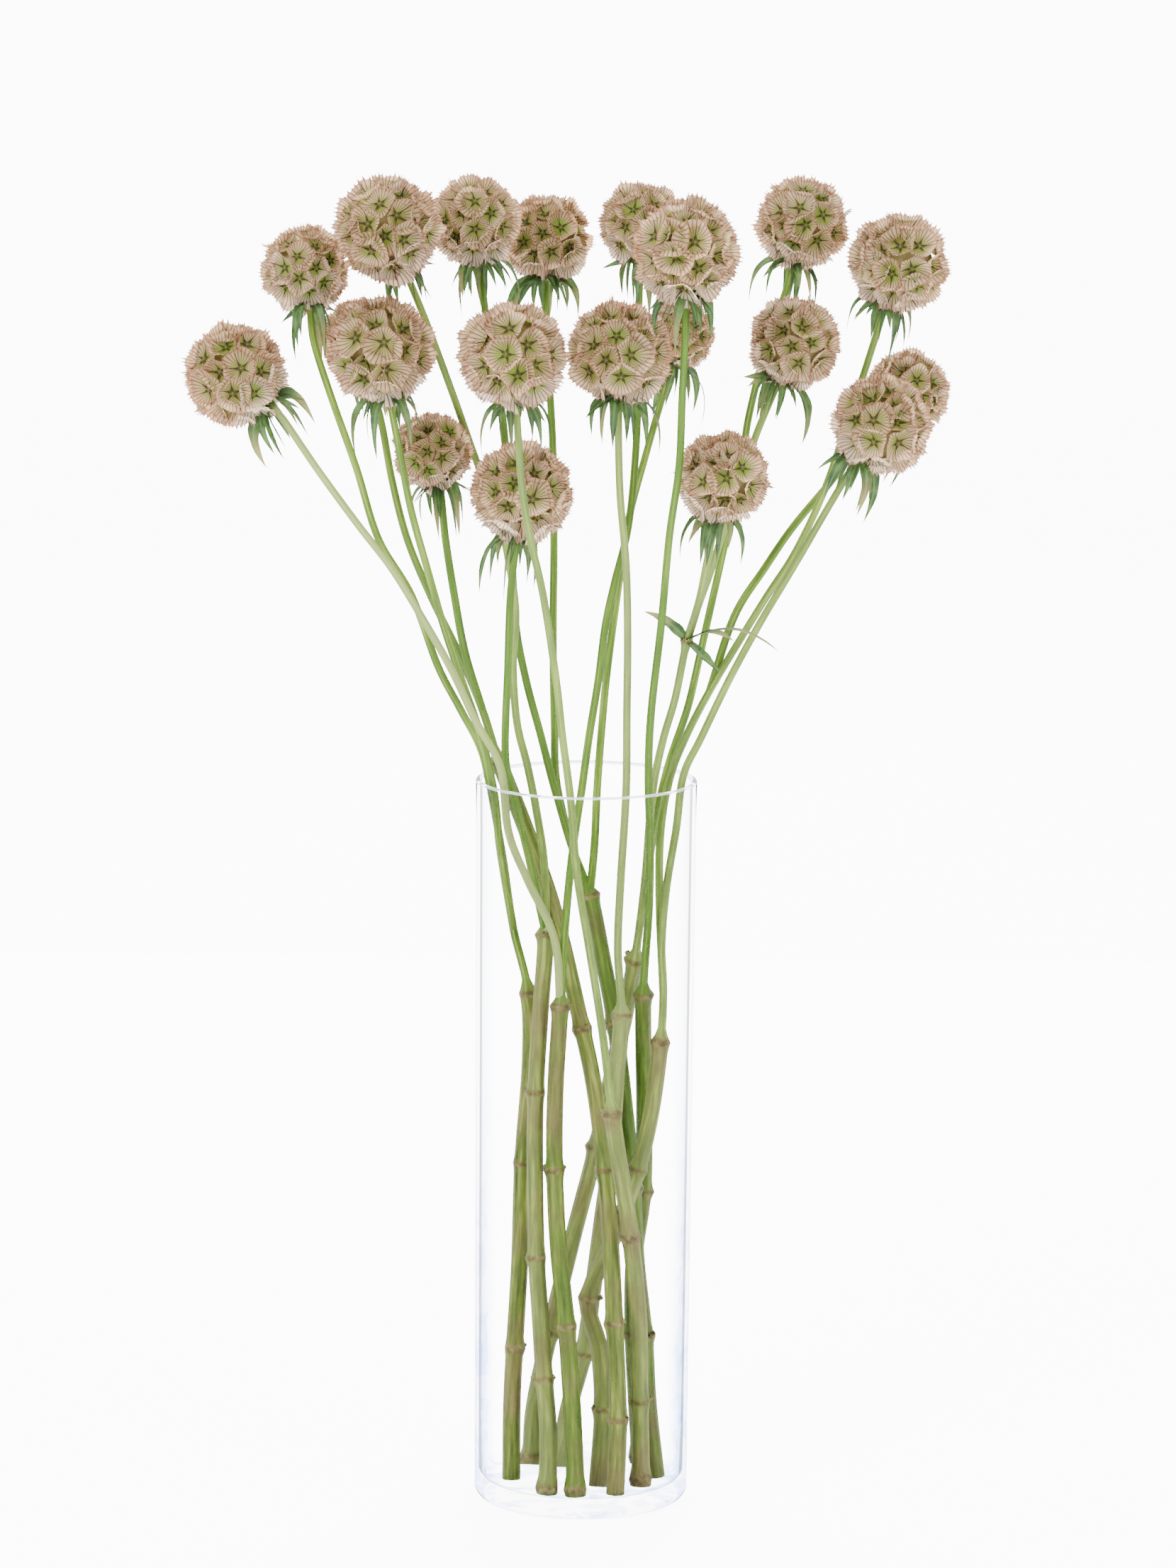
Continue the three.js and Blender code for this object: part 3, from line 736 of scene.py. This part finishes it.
def add_cup(papers, stars, centre, radius, directions, levels, cell, height, tone, chance):
    """One papery cup with its ribs and pleats, and the star on its floor."""
    direction = Vector(directions[cell])
    lean = direction + Vector([chance.gauss(0, CUP_LEAN) for _ in range(3)])
    normal = np.array(lean.normalized())
    first = unit(np.cross(normal, UP if abs(normal[2]) < 0.9 else ACROSS))
    second = np.cross(normal, first)
    size = radius * CUP_RADIUS
    depth = radius * (CUP_RIM - CUP_FLOOR) * chance.uniform(0.92, 1.05)
    rise_of_floor = CUP_FLOOR + LEVEL_LIFT * (levels[cell] - 0.7)
    floor = np.array(centre) + np.array(direction) * radius * rise_of_floor

    columns = RIBS_PER_CUP * 3
    across_rib = np.tile([-RIB_HALF, 0.0, RIB_HALF], RIBS_PER_CUP)
    share = (np.repeat(np.arange(RIBS_PER_CUP), 3) + across_rib) / RIBS_PER_CUP
    angle = share * math.tau + chance.uniform(0, 1)
    room = packed_reach(directions, levels, cell, first, second, angle) * radius * CUP_RIM
    room = (room ** -4 + (radius * ROOM_LIMIT) ** -4) ** -0.25
    rib = np.tile([0.0, 1.0, 0.0], RIBS_PER_CUP)
    t = CUP_ROWS[:, None] * np.ones(columns)[None, :]
    tips = np.repeat([chance.uniform(*RIB_TIPS) for _ in range(RIBS_PER_CUP)], 3)
    ragged = np.repeat([chance.uniform(*RIM_NOTCHES) for _ in range(RIBS_PER_CUP)], 3)
    t[-1] += np.roll(ragged, 1) + rib * tips
    swell = 1.0 + waves(angle, WIDTH_WAVES, chance)
    beyond = np.maximum(t - 1.0, 0.0)
    out = np.minimum(t, 1.0) + TIP_SPREAD * beyond
    spread = 0.1 * size + (room * swell - 0.1 * size)[None, :] * out
    wave = waves(angle, RIM_WAVES, chance)
    lift = depth * (cup_height(t) + wave[None, :] * t ** 2) + beyond * size * TIP_RISE
    lift = lift + (rib - 0.5)[None, :] * size * RIB_RISE * t
    points = around(floor + normal * lift[:, :, None], first, second, spread, angle)
    faces, row_of, column_of = grid_faces(len(CUP_ROWS), columns, True)
    out = 0.46 * (0.06 + 0.94 * np.interp(row_of, np.arange(len(CUP_ROWS)), CUP_ROWS))
    corner_turn = share[column_of.astype(int) % columns] * math.tau
    u = (cell % MAP_CELLS + 0.5 + out * np.cos(corner_turn)) / MAP_CELLS
    v = (cell // MAP_CELLS + 0.5 + out * np.sin(corner_turn)) / MAP_CELLS
    pale = max(0.0, min(0.5, -0.35 - height)) + max(0.0, chance.gauss(0, 0.08))
    papers.add(
        points, faces, u, v, reach=t.ravel(), rib=np.tile(rib, len(CUP_ROWS)),
        tone=tone + chance.gauss(0, 0.35), pale=min(pale, 1.0), green=chance.random() ** 1.6,
    )
    base = floor + normal * depth * 0.06
    add_star(stars, base, (normal, first, second), size, depth, (angle, room), chance)


def add_star(stars, base, directions, size, depth, room_round, chance):
    """The dark star on the floor of a cup: five arms that nearly reach its rim, and a knob."""
    normal, first, second = directions
    start = chance.uniform(0, math.tau)
    for arm in range(5):
        turn = start + (arm + chance.uniform(-0.08, 0.08)) / 5 * math.tau
        outward = first * math.cos(turn) + second * math.sin(turn)
        sideways = second * math.cos(turn) - first * math.sin(turn)
        length = chance.uniform(*ARM_LENGTH) * np.interp(turn, *room_round, period=math.tau) / size
        bend = chance.uniform(-0.12, 0.12)
        add_arm(stars, base, normal, outward, sideways, size, depth, length, bend)
    add_knob(stars, base, normal, first, second, size)


def add_arm(stars, base, normal, outward, sideways, size, depth, length, bend):
    """One arm of a star: a dark wedge that narrows to a thin awn just above the cup's wall."""
    reach = 0.13 + (length - 0.13) * ARM_ROWS
    lift = depth * (cup_height((reach - 0.1) / 0.9) - 0.02) + size * (0.06 + 0.05 * ARM_ROWS)
    lift += np.clip(reach - 1.0, 0, 1) * depth * 0.6
    line = base + outward * (reach * size)[:, None] + normal * lift[:, None]
    line = line + sideways * (bend * size * ARM_ROWS ** 2)[:, None]
    half = (ARM_WIDTHS * size * 0.5)[:, None] * sideways
    crest = normal * (ARM_WIDTHS * size * 0.3)[:, None]
    points = np.stack([line - half, line + crest, line + half], axis=1)
    faces, row_of, column_of = grid_faces(len(ARM_ROWS), 3, False)
    stars.add(points, faces, row_of / 8.0, column_of / 4.0, reach=np.repeat(ARM_ROWS, 3), knob=0.0)


def add_knob(stars, base, normal, first, second, size):
    """The small green knob in the middle of a star."""
    sides = 8
    rows = np.array([[0.1, 0.02], [0.085, 0.07], [0.05, 0.1], [0.0, 0.11]])
    centres = base + normal * (rows[:, 1] * size)[:, None, None]
    points = around(centres, first, second, rows[:, :1] * size, circle(sides))
    faces, row_of, column_of = grid_faces(len(rows), sides, True)
    reach = np.repeat(rows[:, 1] * 4, sides)
    stars.add(points, faces, column_of / sides, row_of / 4.0, reach=reach, knob=1.0)


def add_heart(shape, centre, radius):
    """The plain middle of a head, seen only between the cups."""
    sides = 20
    rows = 12
    core = radius * HEART_RADIUS
    polar = np.linspace(0.02, math.pi - 0.02, rows)[:, None]
    centres = np.array(centre) + np.cos(polar)[:, :, None] * core * UP
    points = around(centres, ACROSS, BACKWARDS, np.sin(polar) * core, circle(sides))
    faces, row_of, column_of = grid_faces(rows, sides, True, flip=True)
    shape.add(points, faces, column_of / sides, row_of / rows, reach=0.0)


# Vase


def vase_profile():
    """Radius and height round the section of the glass, from the middle of the base inwards."""
    lip = VASE_WALL / 2
    inner = VASE_BASE_RADIUS - VASE_WALL
    heel = VASE_BASE_RADIUS - VASE_HEEL
    corner = VASE_FLOOR + VASE_CORNER
    top = VASE_HEIGHT * 0.93
    share = np.arange(1, 13)[:, None] / 12
    flare = share * (VASE_RIM_RADIUS - 0.4 - VASE_BASE_RADIUS)
    return np.concatenate([
        [(0.0, 0.9), (heel - 8, 0.7), (heel - 1.5, 0.0), (heel, 0.0)],
        arc(heel, VASE_HEEL, VASE_HEEL, -90, 0, 8),
        np.hstack([VASE_BASE_RADIUS + flare, VASE_HEEL + share * (top - VASE_HEEL)]),
        arc(VASE_RIM_RADIUS - lip, VASE_HEIGHT - lip, lip, 0, 180, 11),
        np.hstack([inner + flare, corner + share * (top - corner)])[::-1],
        arc(inner - VASE_CORNER, corner, VASE_CORNER, 0, -90, 6),
        [(inner * 0.5, VASE_FLOOR + 0.1), (0.0, VASE_FLOOR + 0.2)],
    ])


def make_vase():
    """The clear cylinder, turned from its section: a thin wall, a thick base and a rounded rim."""
    profile = vase_profile()
    rows = len(profile)
    radius, level = profile.T
    reach = np.maximum(radius, 0.02)[:, None]
    points = around(level[:, None, None] * UP, ACROSS, BACKWARDS, reach, circle(VASE_TURNS))
    faces, row_of, column_of = grid_faces(rows, VASE_TURNS, True)
    shape = Shape()
    wall = rise(radius, VASE_BASE_RADIUS - 9.0, VASE_BASE_RADIUS - 3.0)
    shape.add(
        points, faces, column_of / VASE_TURNS, row_of / rows,
        height=np.repeat(level / VASE_HEIGHT, VASE_TURNS), wall=np.repeat(wall, VASE_TURNS),
    )
    piece = shape.make("vase_glass", glass("clear_wall", 0.0))
    piece.data.materials.append(glass("clear_base", 0.8))
    piece.data.materials.append(rim_glass())
    middle = (level[faces[:, 0] // VASE_TURNS] + level[faces[:, 2] // VASE_TURNS]) / 2
    kinds = np.where(middle > VASE_HEIGHT - 2.5, 2, np.where(middle < VASE_FLOOR + 4.0, 1, 0))
    piece.data.polygons.foreach_set("material_index", kinds.astype(np.int32))
    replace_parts(piece, "vase")


# Materials


class Nodes:
    """Short names for building one material's nodes."""

    def __init__(self, name):
        self.material = bpy.data.materials.new(name)
        self.material.use_nodes = True
        self.tree = self.material.node_tree
        self.tree.nodes.clear()
        self.output = self.add("ShaderNodeOutputMaterial")

    def add(self, kind, inputs=None, **settings):
        """A new node. Each input is given a number, a colour or another node's output."""
        node = self.tree.nodes.new(kind)
        for key, value in settings.items():
            setattr(node, key, value)
        for key, given in (inputs or {}).items():
            if isinstance(given, bpy.types.NodeSocket):
                self.tree.links.new(given, node.inputs[key])
            else:
                node.inputs[key].default_value = (*given, 1.0) if isinstance(given, tuple) else given
        return node

    def value(self, name):
        return self.add("ShaderNodeAttribute", attribute_name=name).outputs["Fac"]

    def math(self, operation, a, b=0.0, clamp=False):
        node = self.add("ShaderNodeMath", {0: a, 1: b}, operation=operation, use_clamp=clamp)
        return node.outputs[0]

    def times(self, a, b):
        return self.math("MULTIPLY", a, b)

    def plus(self, a, b, clamp=False):
        return self.math("ADD", a, b, clamp)

    def one_less(self, a):
        return self.math("SUBTRACT", 1.0, a)

    def ramp(self, source, *stops):
        """A colour scale from its places and colours."""
        node = self.add("ShaderNodeValToRGB", {"Fac": source})
        ramp = node.color_ramp
        while len(ramp.elements) < len(stops):
            ramp.elements.new(0.5)
        for element, (place, colour) in zip(ramp.elements, stops):
            element.position = place
            element.color = (*colour, 1.0)
        return node.outputs["Color"]

    def blend(self, share, a, b):
        return self.add("ShaderNodeMix", {0: share, 6: a, 7: b}, data_type="RGBA").outputs[2]

    def smooth_step(self, source, low, high):
        inputs = {"Value": source, "From Min": low, "From Max": high}
        return self.add("ShaderNodeMapRange", inputs, interpolation_type="SMOOTHSTEP").outputs["Result"]

    def noise(self, scale, detail=3.0, distortion=0.0, vector=None):
        vector = vector or self.add("ShaderNodeTexCoord").outputs["Object"]
        inputs = {"Scale": scale, "Detail": detail, "Distortion": distortion, "Vector": vector}
        return self.add("ShaderNodeTexNoise", inputs).outputs["Fac"]

    def bump(self, height, strength, distance):
        inputs = {"Height": height, "Strength": strength, "Distance": distance}
        return self.add("ShaderNodeBump", inputs).outputs["Normal"]

    def surface(self, inputs, through=0.0):
        """The finished material, with a share of the light let through a thin piece."""
        result = self.add("ShaderNodeBsdfPrincipled", inputs).outputs[0]
        if through:
            thin = self.add("ShaderNodeBsdfTranslucent", {"Color": inputs["Base Color"]}).outputs[0]
            result = self.add("ShaderNodeMixShader", {"Fac": through, 1: result, 2: thin}).outputs[0]
        self.tree.links.new(result, self.output.inputs["Surface"])
        return self.material


def paper_material():
    """Dry translucent membrane between brown ribs, green towards the floor of each cup."""
    n = Nodes("papery_cups")
    reach = n.value("reach")
    mottle = n.noise(420.0)
    uneven = n.plus(reach, n.times(n.plus(mottle, -0.5), 0.25))
    membrane = n.ramp(
        uneven, (0.0, (0.2, 0.27, 0.02)), (0.25, (0.36, 0.35, 0.075)), (0.5, (0.53, 0.46, 0.2)),
        (0.75, (0.63, 0.49, 0.28)), (0.88, (0.6, 0.42, 0.26)), (1.0, (0.32, 0.17, 0.1)),
    )
    ribs = n.ramp(
        uneven, (0.0, (0.14, 0.19, 0.03)), (0.2, (0.15, 0.12, 0.035)), (0.4, (0.17, 0.09, 0.04)),
        (0.7, (0.22, 0.1, 0.05)), (1.0, (0.27, 0.12, 0.06)),
    )
    line = n.times(n.smooth_step(n.value("rib"), 0.1, 0.75), n.smooth_step(reach, 0.15, 0.4))
    brown = n.smooth_step(n.value("tone"), 0.0, 1.0)
    aged = n.blend(n.smooth_step(reach, 0.35, 0.9), membrane, (0.56, 0.33, 0.17))
    membrane = n.blend(n.times(brown, 0.6), membrane, aged)
    fresh = n.times(n.value("green"), n.one_less(n.smooth_step(reach, 0.25, 0.78)))
    membrane = n.blend(n.times(fresh, 0.75), membrane, (0.2, 0.4, 0.015))
    bleached = n.times(n.value("pale"), n.smooth_step(reach, 0.15, 0.6))
    membrane = n.blend(bleached, membrane, (0.82, 0.75, 0.64))
    return n.surface({
        "Base Color": n.blend(n.times(line, 0.95), membrane, ribs), "Roughness": 0.72,
        "Specular IOR Level": 0.2, "Normal": n.bump(mottle, 0.3, 0.0004),
    }, through=0.42)


def star_material():
    """Greyish purple arms with a green knob between them."""
    n = Nodes("dark_stars")
    reach = n.value("reach")
    arms = n.ramp(
        reach, (0.0, (0.05, 0.032, 0.026)), (0.28, (0.022, 0.011, 0.009)), (1.0, (0.07, 0.028, 0.016)),
    )
    knob = n.ramp(reach, (0.0, (0.07, 0.12, 0.02)), (0.5, (0.16, 0.13, 0.04)))
    colour = n.blend(n.value("knob"), arms, knob)
    colour = n.blend(n.times(n.noise(900.0, 2.0), 0.25), colour, (0.1, 0.06, 0.05))
    return n.surface({"Base Color": colour, "Roughness": 0.8, "Specular IOR Level": 0.15})


def heart_material():
    """Tan middle of a head, in the shade of the cups."""
    n = Nodes("head_middle")
    colour = n.ramp(n.noise(300.0, 2.0), (0.3, (0.3, 0.26, 0.09)), (0.7, (0.46, 0.35, 0.19)))
    return n.surface({"Base Color": colour, "Roughness": 0.9})


def stalk_material():
    """Ridged green stalk: lighter above, olive in the vase and darker there as painted shade, with painted
    shade in its grooves, tan and purplish at the nodes.
    """
    n = Nodes("green_stalk")
    turn = n.value("turn")
    drawn_out = n.add("ShaderNodeCombineXYZ", {
        "X": n.times(n.math("COSINE", turn), 1.5),
        "Y": n.times(n.math("SINE", turn), 1.5),
        "Z": n.times(n.value("along"), 0.03),
    })
    patch = n.noise(26.0)
    streak = n.noise(1.6, 2.5, vector=drawn_out.outputs[0])
    streak = n.plus(n.times(streak, 0.6), n.times(patch, 0.4))
    upper = n.ramp(
        streak, (0.36, (0.035, 0.09, 0.002)), (0.5, (0.11, 0.22, 0.008)), (0.62, (0.28, 0.42, 0.045)),
    )
    # Inside the vase the stalks are olive, and this colour is also darkened as painted shade for the
    # crowded stems there.
    olive_with_painted_shade = n.ramp(
        streak, (0.36, (0.03, 0.05, 0.001)), (0.5, (0.12, 0.16, 0.008)), (0.62, (0.32, 0.36, 0.055)),
    )
    low = n.value("low")
    colour = n.blend(low, upper, olive_with_painted_shade)
    # Painted shade: the grooves between the ridges are darkened towards dark green.
    colour = n.blend(n.times(n.one_less(n.value("ridge")), 0.35), colour, (0.1, 0.16, 0.02))
    tint = n.value("tint")
    dark = n.smooth_step(n.times(tint, -1.0), 0.1, 1.0)
    colour = n.blend(n.times(dark, 0.7), colour, (0.055, 0.14, 0.006))
    colour = n.blend(n.times(n.smooth_step(tint, 0.1, 1.0), 0.6), colour, (0.4, 0.46, 0.16))
    warm = n.times(low, n.smooth_step(patch, 0.46, 0.66))
    colour = n.blend(n.times(warm, 0.6), colour, (0.12, 0.07, 0.035))
    hair = n.smooth_step(tint, HAIR_TINT - 0.5, HAIR_TINT - 0.1)
    colour = n.blend(hair, colour, (0.75, 0.78, 0.6))
    uneven = n.times(n.plus(patch, -0.5), 0.8)
    ring = n.smooth_step(n.plus(n.value("node"), uneven), 0.35, 0.9)
    dry = n.ramp(
        n.noise(300.0), (0.35, (0.05, 0.028, 0.01)), (0.5, (0.14, 0.095, 0.03)), (0.7, (0.3, 0.25, 0.1)),
    )
    return n.surface({
        "Base Color": n.blend(n.times(ring, 0.75), colour, dry), "Roughness": 0.55,
        "Specular IOR Level": 0.35, "Normal": n.bump(streak, 0.35, 0.0006),
    })


def blade_material():
    """Bluish green narrow leaves with a paler midrib and yellowing tips."""
    n = Nodes("green_bract")
    patch = n.noise(160.0)
    colour = n.ramp(
        patch, (0.3, (0.014, 0.04, 0.008)), (0.5, (0.035, 0.08, 0.017)), (0.7, (0.085, 0.16, 0.04)),
    )
    rib = n.one_less(n.smooth_step(n.value("edge"), 0.0, 0.4))
    colour = n.blend(n.times(rib, 0.5), colour, (0.12, 0.21, 0.06))
    aged = n.times(n.smooth_step(n.value("tint"), 0.2, 1.1), n.smooth_step(n.value("reach"), 0.3, 1.0))
    colour = n.blend(n.times(aged, 0.7), colour, (0.36, 0.27, 0.1))
    bump = n.bump(patch, 0.25, 0.0004)
    return n.surface({"Base Color": colour, "Roughness": 0.6, "Normal": bump}, through=0.2)


def glass(name, painted_streak_share):
    """Clear glass with painted reflection: faintly blue where it is seen edge on, more so towards the base,
    with painted streaks.
    """
    n = Nodes(name)
    facing = n.add("ShaderNodeLayerWeight", {"Blend": 0.5}).outputs["Facing"]
    low = n.one_less(n.smooth_step(n.value("height"), 0.0, 0.7))
    # Painted reflection: the noise streaks, the edge-on band and the stronger blue towards the base stand
    # in for the surroundings reflected and bent in the glass.
    streak = n.smooth_step(n.noise(42.0, distortion=2.2), 0.48, 0.6)
    edge = n.times(n.smooth_step(facing, 0.42, 0.8), n.value("wall"))
    depth = n.plus(n.times(low, n.plus(n.times(streak, 0.9), 0.5)), 0.25)
    share = n.plus(n.times(edge, depth), n.times(streak, painted_streak_share), clamp=True)
    colour = n.blend(share, (0.998, 0.999, 1.0), (0.34, 0.43, 0.68))
    return n.surface({"Base Color": colour, "Roughness": 0.0, "IOR": 1.02, "Transmission Weight": 1.0})


def rim_glass():
    """The fire-polished rim, painted white all round as a painted highlight."""
    n = Nodes("rim_painted_highlight")
    # Painted highlight: the rim's colour is a noisy white band.
    colour = n.ramp(n.noise(60.0, 2.0), (0.3, (0.82, 0.87, 0.95)), (0.7, (0.98, 0.99, 1.0)))
    return n.surface({"Base Color": colour, "Roughness": 0.12, "IOR": 1.04, "Transmission Weight": 0.5})


def floor_material():
    """Plain white surroundings, bright where they are seen and plain white where they light the part."""
    n = Nodes("pale_floor")
    path = n.add("ShaderNodeLightPath").outputs
    bounced = n.plus(path["Diffuse Depth"], path["Glossy Depth"], clamp=True)
    return n.surface({
        "Base Color": (0.9, 0.9, 0.9), "Roughness": 0.9, "Emission Color": (1.0, 1.0, 1.0),
        "Emission Strength": n.plus(n.times(n.one_less(bounced), 9.0), 0.35),
    })


# Stage


def make_stage():
    """White floor that curves up into a backdrop, soft area lights and a white surrounding light."""
    section = [(y, 0.0, FLOOR_HALF) for y in np.linspace(FLOOR_FRONT, FLOOR_BACK, 13)]
    section += [(y, z, WALL_HALF) for y, z in arc(FLOOR_BACK, WALL_BEND, WALL_BEND, -90, 0, 13)]
    section.append((FLOOR_BACK + WALL_BEND, WALL_TOP, WALL_HALF))
    corners = [(edge * half, y, z) for y, z, half in section for edge in (-1, 1)]
    faces, _, _ = grid_faces(len(section), 2, False, flip=True)
    mesh = bpy.data.meshes.new("backdrop")
    mesh.from_pydata(corners, [], faces.tolist())
    mesh.polygons.foreach_set("use_smooth", [True] * len(mesh.polygons))
    mesh.materials.append(floor_material())
    placed("backdrop", mesh)

    world = bpy.data.worlds.new("studio")
    world.use_nodes = True
    background = world.node_tree.nodes["Background"].inputs
    background["Color"].default_value = (1.0, 1.0, 1.0, 1.0)
    background["Strength"].default_value = WORLD_STRENGTH
    bpy.context.scene.world = world
    for name, (place, size, power) in LIGHTS.items():
        light = bpy.data.lights.new(name, "AREA")
        light.shape = "DISK"
        light.size = size
        light.energy = power
        lamp = placed(name, light)
        lamp.location = place
        aim = Vector(LIGHTS_AIM) - Vector(place)
        lamp.rotation_euler = aim.to_track_quat("-Z", "Y").to_euler()


def make_camera():
    """The photograph's camera: about 3.1 m away, 10 degrees down, with a slight roll."""
    camera = bpy.data.cameras.new("camera")
    camera.sensor_fit = "VERTICAL"
    camera.sensor_height = 36.0
    camera.lens = CAMERA_LENS
    camera.clip_start = 0.1
    camera.clip_end = 50.0
    view = placed("camera", camera)
    tilt = Matrix.Rotation(math.radians(90 - CAMERA_DOWN), 4, "X")
    roll = Matrix.Rotation(math.radians(CAMERA_ROLL), 4, "Z")
    view.matrix_world = Matrix.Translation(CAMERA_PLACE) @ tilt @ roll
    bpy.context.scene.camera = view


# The bunch

BY_HEAD = {stem["head"]: stem for stem in STEMS}
LINES = {stem["head"]: centre_line(stem) for stem in STEMS}


def family_of(main):
    """A main stem and every stem that branches from it, in the listed order."""
    family = [main]
    for stem in STEMS:
        if "joint" in stem and BY_HEAD[stem["joint"][0]] in family:
            family.append(stem)
    return family


def make_stalks(main, material, leaf_material, taken):
    """The green pieces of one main stem: its stalks, and the bracts and leaves on them."""
    chance = random.Random(main["head"] * 101)
    family = family_of(main)
    name = f"stem_{main['head']:02d}"
    stalks = Shape()
    for column, stem in enumerate(family):
        add_stalk(stalks, stem, (column, len(family)), chance)
    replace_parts(stalks.make(f"{name}_stalks", material), name)
    blades = Shape()
    lines = []
    for stem in family:
        lines += [(*line, BRACT_WIDTH * 1.5) for line in bract_lines(stem, taken)]
        lines += hanging_lines(stem, chance)
    if main["head"] == LEAFY_STEM:
        joint = opened(LEAF_JOINT)
        lines += [(joint, opened(middle), opened(tip), LEAF_WIDTH) for middle, tip in LEAVES]
    for cell, (root, middle, tip, width) in enumerate(lines):
        add_blade(blades, root, middle, tip, width, cell, len(lines), chance)
    blades.make(f"{name}_bracts", leaf_material)


def make_head(stem, paper, star, heart):
    """One seed head: the papery cups, their dark stars and the middle."""
    chance = random.Random(stem["head"] * 977)
    number = stem["head"]
    name = f"head_{number:02d}"
    centre, radius = HEADS[number]
    centre = opened(centre)
    _, axis, _ = LINES[number]
    papers = Shape()
    stars = Shape()
    directions, heights = cup_directions(CUPS_PER_HEAD, chance, axis)
    levels = [chance.random() for _ in directions]
    tone = HEAD_TONES.get(number, 0.0)
    for cell, height in enumerate(heights):
        add_cup(papers, stars, centre, radius, directions, levels, cell, height, tone, chance)
    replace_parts(papers.make(f"{name}_cups", paper), name)
    stars.make(f"{name}_stars", star)
    middle = Shape()
    add_heart(middle, centre, radius)
    middle.make(f"{name}_middle", heart)


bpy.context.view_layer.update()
make_camera()
make_stage()
make_vase()
greens = stalk_material(), blade_material()
taken_places = []
for main_stem in STEMS:
    if "joint" not in main_stem:
        make_stalks(main_stem, *greens, taken_places)
browns = paper_material(), star_material(), heart_material()
for one_stem in STEMS:
    make_head(one_stem, *browns)
